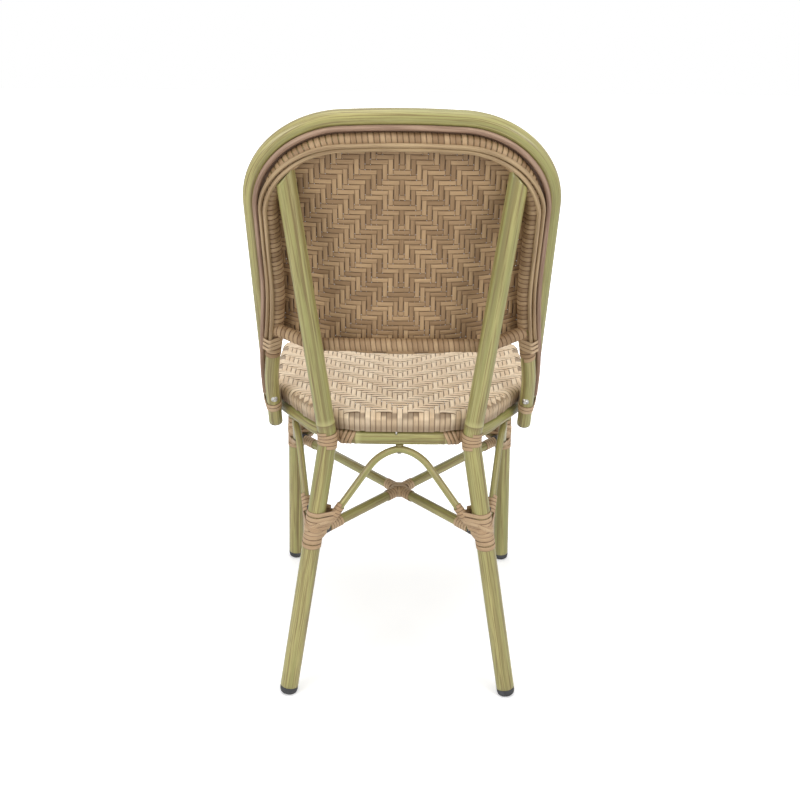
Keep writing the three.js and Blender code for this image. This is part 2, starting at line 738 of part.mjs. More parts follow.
// Hollows under the frame leave room for the bindings of the ring
function bindingRelief() {
  const start = placeOn(ringLine, ringBindingStart - STRIP_PITCH).at;
  const end = placeOn(ringLine, kneeLength).at;
  const bound = ringLine.filter((at) => at.x > start.x && at.x < end.x && at.y > 0);
  const reach = stripReach(RING_RADIUS) + STRIP_THICKNESS / 2;
  return tube([start, ...bound, end], clearOf(reach, THIN_SIDES), THIN_SIDES);
}

function seatFrame() {
  const line = ringOffset(-SEAT_TUBE_INSET, seatTubeHeight);
  const bars = SEAT_BAR_PLACES.map((place) => {
    const end = ringAtPlace(place).setZ(seatTubeHeight);
    end.x -= SEAT_TUBE_INSET;
    return rod(end, across(end), SEAT_BAR_RADIUS, THIN_SIDES);
  });
  const relief = bindingRelief();
  return cut(joined(loopFrom(line, SEAT_TUBE_RADIUS, TUBE_SIDES), ...bars), relief, mirrored(relief));
}

// Crossed stretchers: one long bar, and two halves coped to it
const barRear = onRearLeg(BAR_HEIGHT);
const barFront = onFrontLeg(BAR_HEIGHT);
const longStart = barRear;
const longEnd = point(-barFront.x, barFront.y, BAR_HEIGHT);
const crossing = between(longStart, longEnd, longStart.x / (longStart.x - longEnd.x));
const halfRearStart = point(-barRear.x, barRear.y, BAR_HEIGHT);
const halfFrontStart = barFront;

function legTool(foot, top) {
  return rod(moved(foot, toward(top, foot), OVERRUN), top, LEG_RADIUS + GAP);
}

// Arches: a bend under the ring, with two straight legs that touch it and end on the chair's legs
function archSide(apex, foot) {
  const centre = apex.z - ARCH_BEND;
  const span = Math.hypot(foot.x - apex.x, foot.y - apex.y);
  const drop = foot.z - centre;
  const reach = Math.hypot(span, drop);
  const touch = Math.atan2(drop, span) + Math.acos(ARCH_BEND / reach);
  const facets = Math.ceil((Math.PI / 2 - touch) / ARCH_FACET);
  const points = [];
  for (let i = 0; i <= facets; i += 1) {
    const angle = blend(Math.PI / 2, touch, i / facets);
    const share = (ARCH_BEND * Math.cos(angle)) / span;
    points.push(between(apex, foot, share).setZ(centre + ARCH_BEND * Math.sin(angle)));
  }
  points.push(foot);
  return points;
}

function archLine(apex, footA, footB) {
  return [...archSide(apex, footA).reverse(), ...archSide(apex, footB).slice(1)];
}

const archApexHeight = RING_HEIGHT - RING_RADIUS - SPACER_HEIGHT - ARCH_RADIUS;
const boltTool = (x, y) => rod(
  point(x, y, archApexHeight - OVERRUN),
  point(x, y, RING_HEIGHT - RING_RADIUS + BOLT_GRIP + GAP),
  clearOf(BOLT_RADIUS, THIN_SIDES), THIN_SIDES,
);

function spacer(x, y) {
  const low = archApexHeight + ARCH_RADIUS + GAP;
  const high = RING_HEIGHT - RING_RADIUS - GAP;
  return cut(rod(point(x, y, low), point(x, y, high), SPACER_RADIUS), boltTool(x, y));
}

function archBolt(x, y) {
  const seat = archApexHeight - ARCH_RADIUS - GAP - BOLT_HEAD_RADIUS * Math.tan(ARCH_FACET / 2);
  const tip = RING_HEIGHT - RING_RADIUS + BOLT_GRIP;
  const profile = [[0, -BOLT_HEAD_HEIGHT], [BOLT_HEAD_RADIUS / 2, -BOLT_HEAD_HEIGHT],
    [BOLT_HEAD_RADIUS, -BOLT_HEAD_HEIGHT / 3], [BOLT_HEAD_RADIUS, 0], [BOLT_RADIUS, 0],
    [BOLT_RADIUS, tip - seat], [0, tip - seat]];
  return turned(profile, point(x, y, seat), UP, THIN_SIDES);
}

const rearApex = point(0, RING_REAR, archApexHeight);
const frontApex = point(0, RING_FRONT, archApexHeight);
const sideApex = ringAtPlace(SIDE_ARCH_PLACE).setZ(archApexHeight);

const archRearFoot = onRearLeg(BAR_HEIGHT - ARCH_FOOT_DROP);
const archFrontFoot = onFrontLeg(BAR_HEIGHT - ARCH_FOOT_DROP);
const rearArchLine = archLine(rearApex, archRearFoot, across(archRearFoot));
const frontArchLine = archLine(frontApex, archFrontFoot, across(archFrontFoot));
const sideArchLine = archLine(sideApex, archRearFoot, archFrontFoot);

// Bolts through the feet of the hoops
const riseOf = (at) => at.clone().sub(hoopFoot).dot(hoopUp);

function atRise(line, rise) {
  const i = Math.max(1, line.findIndex((at) => riseOf(at) >= rise));
  const low = riseOf(line[i - 1]);
  return between(line[i - 1], line[i], (rise - low) / (riseOf(line[i]) - low));
}

const hoopPairAt = (rise) => ({ outer: atRise(outerHoopLine, rise), inner: atRise(innerHoopLine, rise) });

const sidePair = hoopPairAt(SIDE_BOLT_PLACE);
const sideBoltAhead = toward(sidePair.inner, sidePair.outer);
const sideBoltSeat = moved(sidePair.inner, sideBoltAhead, -(HOOP_RADIUS + GAP));
const sideBoltReach = 2 * HOOP_RADIUS + SIDE_BOLT_GRIP;

function sideBolt() {
  const profile = [[0, -SIDE_BOLT_HEAD_HEIGHT], [SIDE_BOLT_HEAD_RADIUS / 2, -SIDE_BOLT_HEAD_HEIGHT],
    [SIDE_BOLT_HEAD_RADIUS, -SIDE_BOLT_HEAD_HEIGHT / 3], [SIDE_BOLT_HEAD_RADIUS, 0], [SIDE_BOLT_RADIUS, 0],
    [SIDE_BOLT_RADIUS, sideBoltReach], [0, sideBoltReach]];
  return turned(profile, sideBoltSeat, sideBoltAhead, THIN_SIDES);
}

const sideBoltTool = () => boreAt(
  sideBoltSeat, sideBoltAhead, clearOf(SIDE_BOLT_RADIUS, THIN_SIDES), sideBoltReach + GAP, THIN_SIDES,
);

function hoopGeometry(line) {
  const tool = sideBoltTool();
  const ends = [line[0], last(line)];
  const inward = [toward(line[0], line[1]), toward(ends[1], line[line.length - 2])];
  const bores = ends.map((end, i) => boreAt(end, inward[i], HOOP_RADIUS - TUBE_WALL, PLUG_STEM + GAP));
  return cut(tube(line, HOOP_RADIUS), tool, mirrored(tool), ...bores);
}

// Bindings: a flat strip wound as one unbroken turn after turn round a rod. Its section is one unit
// wide, and at each station it is as wide as the room between the neighbouring turns
function stripSection() {
  const thick = STRIP_THICKNESS / 2;
  const corners = [[-thick, -1 / 2], [thick, -1 / 2], [thick, 1 / 2], [-thick, 1 / 2]];
  return new THREE.Shape(corners.map(([x, y]) => new THREE.Vector2(x, y)));
}

function stripWidth(places, i, lap, ahead) {
  const neighbours = [places[i - lap], places[i + lap]].filter((place) => place !== undefined);
  const besides = neighbours.map(({ at }) => at.clone().sub(places[i].at).projectOnPlane(ahead).length());
  return Math.min(...besides) - STRIP_SPACE;
}

function stripStations(places, lap) {
  const ahead = directionsAlong(places.map((place) => place.at));
  return places.map(({ at, outward }, i) => {
    const out = moved(outward, ahead[i], -outward.dot(ahead[i])).normalize();
    const across = ahead[i].clone().cross(out).multiplyScalar(stripWidth(places, i, lap, ahead[i]));
    return { at, ahead: ahead[i], out, across };
  });
}

// The least gap of a winding to itself, between the strip here and the strip of any other turn
function leastGap(stations, lap) {
  let least = Infinity;
  for (let i = 0; i < stations.length; i += 1) {
    for (let j = i + Math.floor(lap / 2); j < stations.length; j += 1) {
      const half = (stations[i].across.length() + stations[j].across.length()) / 2;
      least = Math.min(least, stations[i].at.distanceTo(stations[j].at) - half);
    }
  }
  return least;
}

function winding(name, places, lap = STRIP_STEPS) {
  const stations = stripStations(places, lap);
  console.log(`${name}: least gap to itself ${leastGap(stations, lap).toFixed(2)} mm`);
  return extrudeAlong(stripSection(), stations);
}

// How far a strip's middle lies from the axis, so that its flats clear the rod between corners
const stripReach = (radius) => (radius + STRIP_GAP) / Math.cos(Math.PI / STRIP_STEPS) + STRIP_THICKNESS / 2;

function roundPlaces(line, start, turns, radius, guide) {
  const reach = stripReach(radius);
  const places = [];
  for (let i = 0; i <= turns * STRIP_STEPS; i += 1) {
    const angle = (i / STRIP_STEPS) * Math.PI * 2;
    const { at, ahead } = placeOn(line, start + (STRIP_PITCH * i) / STRIP_STEPS);
    const first = moved(guide, ahead, -guide.dot(ahead)).normalize();
    const outward = first.clone().applyAxisAngle(ahead, angle);
    places.push({ at: moved(at, outward, reach), outward });
  }
  return places;
}

// Height at which an arch that rises from a leaning leg has left the binding round that leg
function exitHeight([foot, next], leg) {
  const ahead = toward(foot, next);
  const level = Math.hypot(ahead.x, ahead.y);
  const lean = (leg.x * ahead.x + leg.y * ahead.y) / (leg.z * level);
  const reach = stripReach(LEG_RADIUS) + STRIP_THICKNESS / 2;
  return foot.z + (reach * ahead.z + ARCH_RADIUS) / (level - lean * ahead.z);
}

const rearExits = [rearArchLine, sideArchLine].map((line) => exitHeight(line, toward(rearFoot, knee)));
const frontExits = [frontArchLine, sideArchLine.slice().reverse()]
  .map((line) => exitHeight(line, toward(frontFoot, frontLegTop)));
const jointTop = Math.max(...rearExits, ...frontExits) + JOINT_SPACE;
const jointBottom = BAR_HEIGHT - JOINT_BELOW;

// Height of a turn where it passes the joint: half of the turns above it and half below
function partedHeight(turn) {
  const above = Math.ceil(LEG_BINDING_TURNS / 2);
  const place = Math.floor(turn) + 1 / 2 - above;
  return (place < 0 ? jointTop : jointBottom) - JOINT_PITCH * place;
}

// Turns round a leg that part above and below a joint whose tubes leave on one side
function legBinding(name, foot, top, joint) {
  const axis = toward(foot, top);
  const reach = stripReach(LEG_RADIUS);
  const guide = moved(joint, axis, -joint.dot(axis)).normalize().negate();
  const high = jointTop + LEG_BINDING_RISE;
  const pitch = (high - BAR_HEIGHT + LEG_BINDING_BELOW) / (LEG_BINDING_TURNS + 1);
  const places = [];
  for (let i = 0; i <= LEG_BINDING_TURNS * STRIP_STEPS; i += 1) {
    const turn = i / STRIP_STEPS;
    const fromJoint = Math.abs((turn % 1) - 1 / 2) * Math.PI * 2;
    const nearness = 1 - ease(fromJoint, JOINT_SPREAD, JOINT_SPREAD);
    const outward = guide.clone().applyAxisAngle(axis, Math.PI * 2 * turn);
    const even = high - pitch * (turn + 1 / 2);
    const parted = partedHeight(turn) - outward.z * reach;
    const onAxis = moved(foot, axis, blend(even, parted, nearness) / axis.z);
    places.push({ at: moved(onAxis, outward, reach), outward });
  }
  return winding(name, places);
}

// Turns round both feet of the hoops at once
function hoopBinding(name) {
  const reach = stripReach(HOOP_RADIUS);
  const fan = STRIP_STEPS / 2;
  const lap = 2 * (fan + 1);
  const places = [];
  for (let i = 0; i <= HOOP_TURNS * lap; i += 1) {
    const pair = hoopPairAt(HOOP_BINDING_START + (STRIP_PITCH * i) / lap);
    const step = i % lap;
    const round = step > fan ? pair.inner : pair.outer;
    const side = -Math.PI / 2 + (Math.PI * (step > fan ? step - 1 : step)) / fan;
    const outward = toward(pair.inner, pair.outer).applyAxisAngle(hoopUp, side);
    places.push({ at: moved(round, outward, reach), outward });
  }
  return winding(name, places, lap);
}

// Turns on the two arms of a bar on either side of the crossing, joined by a straight run over it
function crossBinding(name, from, to, above) {
  const ahead = toward(from, to);
  const guide = UP.clone().multiplyScalar(above);
  const arm = CROSS_TURNS * STRIP_PITCH;
  const line = [moved(crossing, ahead, -OVERRUN), moved(crossing, ahead, OVERRUN)];
  const near = roundPlaces(line, OVERRUN - CROSS_BINDING_START - arm, CROSS_TURNS, BAR_RADIUS, guide);
  const far = roundPlaces(line, OVERRUN + CROSS_BINDING_START, CROSS_TURNS, BAR_RADIUS, guide);
  return winding(name, [...near, ...far]);
}

// Turns on the end of a bar, as near to the leg as the arches over it allow
function barBinding(name, line, arches) {
  const room = stripReach(BAR_RADIUS) + STRIP_THICKNESS / 2 + ARCH_RADIUS + GAP;
  const clears = (place) => arches.every((rod) => distanceTo(rod, placeOn(line, place).at) >= room);
  const end = lastFit(line[0].distanceTo(line[1]) / 2, 0, clears);
  return winding(name, roundPlaces(line, end + STRIP_PITCH / 2, BAR_TURNS, BAR_RADIUS, UP));
}

function kneeBinding(name) {
  const kneeLine = bentLine([{ at: postTop }, { at: knee, bend: KNEE_BEND }, { at: rearFoot }]);
  const start = postTop.distanceTo(atHeight(knee, postTop, kneeHeight + KNEE_BINDING_RISE));
  return winding(name, roundPlaces(kneeLine, start, KNEE_TURNS, LEG_RADIUS, point(0, 1, 0)));
}

function ringBinding(name) {
  return winding(name, roundPlaces(ringLine, ringBindingStart, RING_TURNS, RING_RADIUS, UP));
}

function sideBinding(name) {
  const start = railReach - SIDE_BINDING_UNDER_RAIL + INNER_FOOT_DROP;
  return winding(name, roundPlaces(innerLeft, start, SIDE_TURNS, HOOP_RADIUS, hoopRear));
}

// Frame
const ringBolts = [boltTool(rearApex.x, rearApex.y), boltTool(frontApex.x, frontApex.y),
  boltTool(sideApex.x, sideApex.y), boltTool(-sideApex.x, sideApex.y)];
const plainRing = loopFrom(ringLine, RING_RADIUS, TUBE_SIDES);
const ringTool = loopFrom(ringLine, RING_RADIUS + GAP, TUBE_SIDES);
add("seat_ring", cut(plainRing, ...ringBolts), bamboo());
addPair("rear_leg", rearLeg(), bamboo);
addPair("front_leg", frontLeg(ringTool), bamboo);
addPair("rear_foot_cap", footCap(rearFoot, toward(rearFoot, knee)), rubber);
addPair("front_foot_cap", footCap(frontFoot, toward(frontFoot, frontLegTop)), rubber);

// Stretchers
const rearTool = legTool(rearFoot, knee);
const frontTool = legTool(frontFoot, frontLegTop);
const longTool = rod(longStart, longEnd, BAR_RADIUS + GAP);
const bar = (start, end, ...tools) => cut(rod(start, end, BAR_RADIUS), ...tools);
add("stretcher_bar_long", bar(longStart, longEnd, rearTool, mirrored(frontTool)), bamboo());
add("stretcher_bar_rear", bar(halfRearStart, crossing, mirrored(rearTool), longTool), bamboo());
add("stretcher_bar_front", bar(halfFrontStart, crossing, frontTool, longTool), bamboo());

// Arches
const arch = (line, ...tools) => cut(tube(line, ARCH_RADIUS, THIN_SIDES), ...tools);
const rearTools = [rearTool, rod(barRear, crossing, BAR_RADIUS + GAP)];
const frontTools = [frontTool, rod(barFront, crossing, BAR_RADIUS + GAP)];
add("rear_arch", arch(rearArchLine, ...rearTools, ...rearTools.map(mirrored), ringBolts[0]), bamboo());
add("front_arch", arch(frontArchLine, ...frontTools, ...frontTools.map(mirrored), ringBolts[1]), bamboo());
addPair("side_arch", arch(sideArchLine, ...rearTools, ...frontTools, ringBolts[2]), bamboo);
add("rear_arch_spacer", spacer(rearApex.x, rearApex.y), rubber());
add("front_arch_spacer", spacer(frontApex.x, frontApex.y), rubber());
addPair("side_arch_spacer", spacer(sideApex.x, sideApex.y), rubber);
add("rear_arch_bolt", archBolt(rearApex.x, rearApex.y), steel());
add("front_arch_bolt", archBolt(frontApex.x, frontApex.y), steel());
addPair("side_arch_bolt", archBolt(sideApex.x, sideApex.y), steel);

// Back
add("outer_hoop", hoopGeometry(outerHoopLine), bamboo());
add("inner_hoop", hoopGeometry(innerHoopLine), bamboo());
addPair("outer_hoop_plug", endPlug(outerHoopLine[0], toward(outerHoopLine[0], outerHoopLine[1])), rubber);
addPair("inner_hoop_plug", endPlug(innerHoopLine[0], toward(innerHoopLine[0], innerHoopLine[1])), rubber);
addPair("hoop_bolt", sideBolt(), steel);
add("filler_cane", tube(fillerLine, FILLER_RADIUS, CANE_SIDES), cane());
add("outer_trim_cane", tube(outerCaneLine, CANE_RADIUS, CANE_SIDES), cane());
add("inner_trim_cane", tube(innerCaneLine, CANE_RADIUS, CANE_SIDES), cane());
add("back_bottom_rail", bottomRail(), strip());
add("back_panel", backPanel(), weave());

// Seat
add("seat_frame", seatFrame(), bamboo());
add("seat_pad", seatPad(), weave());

// Bindings
const level = (from, to) => toward(from, to.clone().setZ(from.z));
const rearJoint = level(barRear, rearApex).add(level(barRear, sideApex));
const frontJoint = level(barFront, frontApex).add(level(barFront, sideApex));
addPair("rear_leg_binding", legBinding("rear_leg_binding", rearFoot, knee, rearJoint), strip);
addPair("front_leg_binding", legBinding("front_leg_binding", frontFoot, frontLegTop, frontJoint), strip);
addPair("knee_binding", kneeBinding("knee_binding"), strip);
addPair("ring_binding", ringBinding("ring_binding"), strip);
addPair("side_binding_upper", sideBinding("side_binding_upper"), strip);
addPair("side_binding_lower", hoopBinding("side_binding_lower"), strip);
const rearBarBinding = barBinding("rear_bar_binding", [barRear, crossing], [rearArchLine, sideArchLine]);
const frontBarBinding = barBinding("front_bar_binding", [barFront, crossing], [frontArchLine, sideArchLine]);
addPair("rear_bar_binding", rearBarBinding, strip);
addPair("front_bar_binding", frontBarBinding, strip);
add("cross_binding_upper", crossBinding("cross_binding_upper", longStart, longEnd, 1), strip());
add("cross_binding_lower", crossBinding("cross_binding_lower", halfRearStart, halfFrontStart, -1), strip());

// The origin lies on the ground under the middle of the chair
const bounds = new THREE.Box3().setFromObject(chair);
chair.position.y = -(bounds.min.y + bounds.max.y) / 2;

export default chair;
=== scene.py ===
"""Rattan bistro chair: a bent bamboo-look frame with wound bindings, woven in a herringbone twill.

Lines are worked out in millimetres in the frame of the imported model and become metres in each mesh.
The chair faces -Y, and left is the sitter's left, +X.
"""
import math

import bmesh
import bpy
import numpy as np
from mathutils import Matrix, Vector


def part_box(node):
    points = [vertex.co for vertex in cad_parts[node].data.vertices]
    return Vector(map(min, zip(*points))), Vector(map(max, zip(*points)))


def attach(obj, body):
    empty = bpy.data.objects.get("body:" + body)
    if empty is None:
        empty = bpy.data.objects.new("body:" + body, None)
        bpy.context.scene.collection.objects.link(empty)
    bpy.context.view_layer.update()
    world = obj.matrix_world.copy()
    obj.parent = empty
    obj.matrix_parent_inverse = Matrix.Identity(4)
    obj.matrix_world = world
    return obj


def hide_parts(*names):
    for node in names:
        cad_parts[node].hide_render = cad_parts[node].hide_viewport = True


bl_info = {
    "name": "Rattan Bistro Chair",
    "version": (1, 0, 0),
    "blender": (4, 5, 0),
    "location": "3D View > Sidebar > Bistro Chair",
    "description": "Builds a rattan bistro chair piece by piece on its packed frame",
    "category": "Add Mesh",
}

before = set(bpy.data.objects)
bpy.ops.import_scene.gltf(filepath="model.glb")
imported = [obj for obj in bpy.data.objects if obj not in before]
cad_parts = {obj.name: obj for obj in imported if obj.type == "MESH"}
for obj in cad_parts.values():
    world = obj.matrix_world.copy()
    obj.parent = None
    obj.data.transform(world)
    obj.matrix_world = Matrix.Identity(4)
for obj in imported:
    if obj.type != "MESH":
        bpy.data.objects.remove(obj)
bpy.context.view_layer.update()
MM = 0.001

# Sizes are in millimetres, bearings in degrees, and places run along a line from its start

# Seat ring, flat, with a narrow rear and a wide front
RING_RADIUS = 11
RING_HEIGHT = 408
RING_REAR = 136
RING_REAR_HALF = 108
RING_SIDE_HALF = 198
RING_SIDE_START = -10
RING_FRONT = -204
RING_REAR_BEND = 105
RING_SIDE_BEND = 100
RING_FRONT_BEND = 34

# Legs and their knees
LEG_RADIUS = 14
REAR_FOOT = (173, 217, 0)
FRONT_FOOT = (200, -207, 0)
KNEE_HEIGHT = 410
KNEE_BEND = 70
KNEE_SPACE = 3
KNEE_BEND_SHARE = 0.46
KNEE_INSET = 2
COPE_DEPTH = 4
CAP_HEIGHT = 12
RING_JOINTS = (66, 505)
POST_JOINT_HEIGHT = 437
SCREW_HEIGHT = 304

# Hoops of the back
HOOP_RADIUS = 11
HOOP_GAP = 0.3
HOOP_FOOT_HEIGHT = 416
HOOP_FOOT_BACK = 20
HOOP_FOOT_HALF = 206.5
HOOP_HALF = 208.5
HOOP_TOP_HEIGHT = 886.5
HOOP_TOP_BACK = 186
HOOP_CROWN_HALF = 72
HOOP_CROWN_RISE = 2
HOOP_SHOULDER_RISE = 127
HOOP_STEPS = 48
CROWN_STEPS = 8
INNER_FOOT_DROP = 21
INNER_SIDE_SPACING = 29.5
INNER_TOP_SPACING = 31.6
INNER_SPACING_START = 30
INNER_SPACING_RUN = 90
INNER_TURN_START = 60
INNER_TURN_RUN = 200
INNER_BEARINGS = (73, 24, 18.4)
POST_TOP_BACK = 1.5
POST_TOP_SHARE = 0.42
POST_CUT = 5
POST_CUT_REACH = 90
POST_PAST = 20
SIDE_BOLT_PLACE = 34

# Canes in the groove of the hoops and over the edge of the weave
FILLER_RADIUS = 3.75
FILLER_START = 34
FILLER_BEARINGS = (118, 62, 46)
CANE_RADIUS = 3
CANE_START = 147
OUTER_CANE_BEARINGS = (151, 95)
INNER_CANE_BEARINGS = (113, 69)
FLAT_START = 60
FLAT_SHARE = 0.54
FLAT_WIDTH = 10
FLAT_THICKNESS = 1.2
FLAT_SEED = 3

# Bottom rail of the back
RAIL_RADIUS = 9
RAIL_HEIGHT = 555
RAIL_FLAT_HALF = 128
RAIL_BEND = 40
RAIL_END_RISE = 13
RAIL_END_BACK = 4

# Back panel
PANEL_BEHIND_RAIL = 2
PANEL_SINK = 13.3
PANEL_LAP = 5
PANEL_BOW_POWER = 2.6
PANEL_FADE_POWER = 1.4

# Weave, in which a strip goes over three others and under three
WEAVE_REPEAT = 6
WEAVE_STEPS = 3
WEAVE_RISE = 6
WAVE_SHARPNESS = 2.2
SHORTEST_STRIP = 8
FEWEST_POINTS = 6

# Seat
PAD_OVERHANG = 10.8
PAD_RIM_HEIGHT = 420
PAD_EDGE_HEIGHT = 448.5
PAD_EDGE_ROUND = 12
PAD_CROWN = 6.5
PAD_RIM_TUCK = 1.5
PAD_RIM_TUCK_RUN = 15
SEAT_SPAN = 260
SEAT_PLACE_STEP = 0.5
SHORTEST_SEAT_STRIP = 30

# How a strip of the seat goes over its rim. One that meets the rim at a slant is tucked in instead
RIM_FACING = 0.7
RIM_TUCK_INSIDE = 4.5
RIM_ROOM = 9
RIM_ZONE = 14
RIM_ZONE_STEPS = 40
RIM_ROOMIEST = 1.6
RIM_FULL = 21
RIM_WIDENING = 0.09
RIM_WIDENING_RUN = 8
RIM_WAVE_START = 2
RIM_WAVE_RUN = 8
# These draw the rim's strips down, which also darkens them through their finish as painted shade, most at the
# rim's foot
RIM_DIP_AND_SHADE = 0.3
RIM_FOOT_DIP_AND_SHADE = 0.6
RIM_EDGE = 0.05
RIM_END_ROOM = 0.1

# Tube frame under the weave, and the stud that shows at its rear
SEAT_TUBE_RADIUS = 12
SEAT_TUBE_INSET = 5
SEAT_BAR_RADIUS = 8
SEAT_BAR_PLACES = (-115, 10)
CLIP_SIDE = 5
CLIP_RADIUS = 1.6
CLIP_SHARE = 0.66

# Stretchers and arches
BAR_RADIUS = 8
BAR_HEIGHT = 262
ARCH_RADIUS = 5.5
ARCH_BEND = 60
ARCH_FOOT_HEIGHT = 242
SIDE_ARCH_PLACE = 40
ARCH_STEPS = 14
SPACER_HEIGHT = 3

# Strips of the bindings. Their section is a circle pressed almost square, then scaled to its size
STRIP_PITCH = 6.9
STRIP_SPACE = 0.2
STRIP_STEPS = 48
STRIP_CLEAR = 0.15
SECTION_POINTS = 8
SECTION_RADIUS = 0.541
FLAT_POWER = 0.16
LAY_SCALE = 55
TURN_LAP = 0.2
LAP_RISE = 0.04
NARROW = 0.8

# Lashings of the legs: level turns stretched round all that meets there
LEG_BINDING_TOP = 301
LEG_BINDING_PITCH = 7.1
LEG_BINDING_TURNS = 8.2
LEG_BINDING_DRIFT = 0.5
LEG_BINDING_DRIFT_TURNS = 0.37
LEG_BINDING_WIDTH = 1.03
LEG_BINDING_UNEVEN = 0.03
LEG_BINDING_UNEVEN_TURNS = 9
LOBE_REACH = 30
LOBE_FADE = 4
BAR_LOBE_REACH = 21
BAR_LOBE_ROOM = 1.6

# Turns over each arch foot as (middle height, climb) pairs, and the wrap above them
CLIMBING_TURNS = ((281, 9), (276, -5))
CLIMBING_REACH = 36
CLIMBING_LIFT = 0.6
CLIMBING_WIDTH = 0.9
CLIMBING_START = 0.15
CLIMBING_END = 0.1
ARCH_BEARING_HEIGHT = 50
ARCH_BEARING_LENGTH = 70
ARCH_BINDING_START = 52
ARCH_BINDING_LIFT = 0.5
ARCH_TURNS = 5

# Turns round the knees, and on the ring beside them as (place, lean, lift)
KNEE_BINDING_TOP = 424
KNEE_TURNS = 4
KNEE_PITCH = 6.1
RING_BINDING_NEAR = 8
RING_TURNS = ((1, -3.2, 0), (6.6, -3.2, 0), (8, 4.2, 1), (13.8, 4.4, 0.4), (19.6, 4.4, 0))

# Turns on the sides of the inner hoop, round the hoops' feet and on the ends of the bars
SIDE_BINDING_START = 140
SIDE_TURNS = 2.39
HOOP_BINDING_START = 7
HOOP_TURNS = 2
BAR_BINDING_START = 33
BAR_TURNS = 5
BAR_PITCH = 5.6

# Turns beside the crossing, and the loops over its middle
CROSS_BINDING_START = 9
CROSS_TURNS = 4
CROSS_PITCH = 5.5
CROSS_ARM = 60
CROSS_HALF = 14
CROSS_LOOPS = (-5.6, 0, 5.6)
CROSS_LOOP_GROWTH = 0.5
CROSS_ROUND = 0.75
CROSS_LIFT = 0.4
CROSS_FACING = 1.6
CROSS_LAP = 0.15
CROSS_LAP_RISE = 0.03
CROSS_SEED = 20

# Wraps of the bottom rail and the inner hoop
WRAP_SPACE = 0.35
RAIL_WRAP_START = 4
RAIL_WRAP_SINK = 0.3
RAIL_WRAP_STEPS = 20
RAIL_TUBE_SINK = 0.2
HOOP_WRAP_BELOW = 34
HOOP_WRAP_SINK = 0.1
HOOP_WRAP_STEPS = 22

# Turned pieces as (radius, height) pairs
SCREW_PROFILE = ((0, -1), (2.8, -1), (2.8, 0.8), (1.96, 1.5), (0, 1.6))
CAP_PROFILE = ((0, -5), (6, -5), (10.4, 0.3), (12.8, 2.6), (13.6, 5.2), (14, 7.6), (14, 11.1), (13.5, 11.7),
               (11, 11.7), (0, 11.7))
PLUG_PROFILE = ((0, -2), (6.05, -2), (9.35, -1.8), (10.8, -1.1), (11, -0.3), (10.4, 0), (9, 0), (9, 8),
                (0, 8))
SPACER_PROFILE = ((0, 0), (5.3, 0), (6, 0.5), (6, 2.8), (5.3, 3.3), (0, 3.3))
ARCH_BOLT_PROFILE = ((0, -1.6), (1.5, -1.6), (1.6, -2.6), (2.8, -2.3), (3.8, -1.2), (4, -0.5), (4, 0), (2, 0),
                     (2, 16), (0, 16))
ARCH_BOLT_GAP = 0.2
HOOP_BOLT_PROFILE = ((0, -1.4), (1.4, -1.4), (1.6, -3.2), (3, -3.2), (3.8, -2.5), (4, -1.4), (4, -0.7),
                     (5.3, -0.7), (5.5, -0.4), (5.5, 0.5), (2.5, 0.5), (2.5, 32), (0, 32))
HOOP_BOLT_SINK = 0.6
SLEEVE_PROFILE = ((0, 20), (8.6, 20), (9.3, 20.6), (9.3, 29), (8.6, 29.8), (0, 29.8))

# Rings of the bamboo joints, and the ends of tubes as (share of the radius, reach) pairs
JOINT_STATIONS = (-9, -4, -2, -1, 0, 1, 2, 4, 9)
JOINT_SWELL = 0.045
JOINT_RUN = 2.2
NO_JOINT = 200.0
ROUND_END = ((0.94, 0.12), (0.78, 0.32), (0.5, 0.5), (0, 0.58))
FLAT_END = ((0.93, 0.06), (0, 0.06))

# Where each tube begins along the streaks of the paint, so that no two look alike
RIGHT_PAINT = 1700
FRONT_LEG_PAINT = 600
BAR_PAINTS = (2600, 3300, 3900)
ARCH_PAINT = 4500
ARCH_PAINT_STEP = 700
OUTER_HOOP_PAINT = 7600
INNER_HOOP_PAINT = 9600
SEAT_TUBE_PAINT = 11800
SEAT_BAR_PAINT = 13200

# Mesh making, the first two in metres
MERGE_DISTANCE = 1e-6
LEAST_EDGE = 1e-7
TINY = 1e-9
ON_LINE = 1e-6
STEEP = 0.9
TUBE_STEP = 7
TUBE_SIDES = 28
SEAT_TUBE_SIDES = 24
THIN_SIDES = 20
CANE_SIDES = 16
CAP_SIDES = 40
PLUG_SIDES = 36
TURNED_SIDES = 32
BOLT_SIDES = 24
SCREW_SIDES = 20
STUD_SIDES = 16

# Fixed shades of the finishes
RUBBER_SCUFF = 2.2
DULL_STEEL = (0.42, 0.41, 0.4, 1)
WHITE = (1, 1, 1, 1)
BINDING_ROUGH = 0.42
FLOOR_ROUGH = 0.9

# Stage, in metres but for the camera's sensor
FLOOR_REACH = 9
FLOOR_FADE = {"From Min": 0.3, "From Max": 1.3, "To Min": 0.32, "To Max": 1.0}
SENSOR_WIDTH = 36
VIEW_NEAR = 0.05
VIEW_FAR = 60
LAMPS = (
    ("overhead", (0, 0.3, 2.6), (0, 0, 0.5), 2.2, "overhead_power"),
    ("beside_left", (1.7, 1.5, 1.3), (0, 0, 0.55), 1.1, "side_power"),
    ("beside_right", (-1.7, 1.5, 1.3), (0, 0, 0.55), 1.1, "side_power"),
    ("in_front", (0.5, -2.1, 1.5), (0, 0, 0.6), 1.4, "front_power"),
)

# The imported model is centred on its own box, so its depth differs from the lines by this much
SPACER_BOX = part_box("rear_arch_spacer")
DEPTH_SHIFT = (SPACER_BOX[0][1] + SPACER_BOX[1][1]) / 2 / MM - RING_REAR


# Lines

def point(x, y, z):
    return np.array([x, y, z], float)


UP = point(0, 0, 1)


def unit(vectors):
    vectors = np.asarray(vectors, float)
    return vectors / np.maximum(np.linalg.norm(vectors, axis=-1, keepdims=True), TINY)


def toward(a, b):
    return unit(b - a)


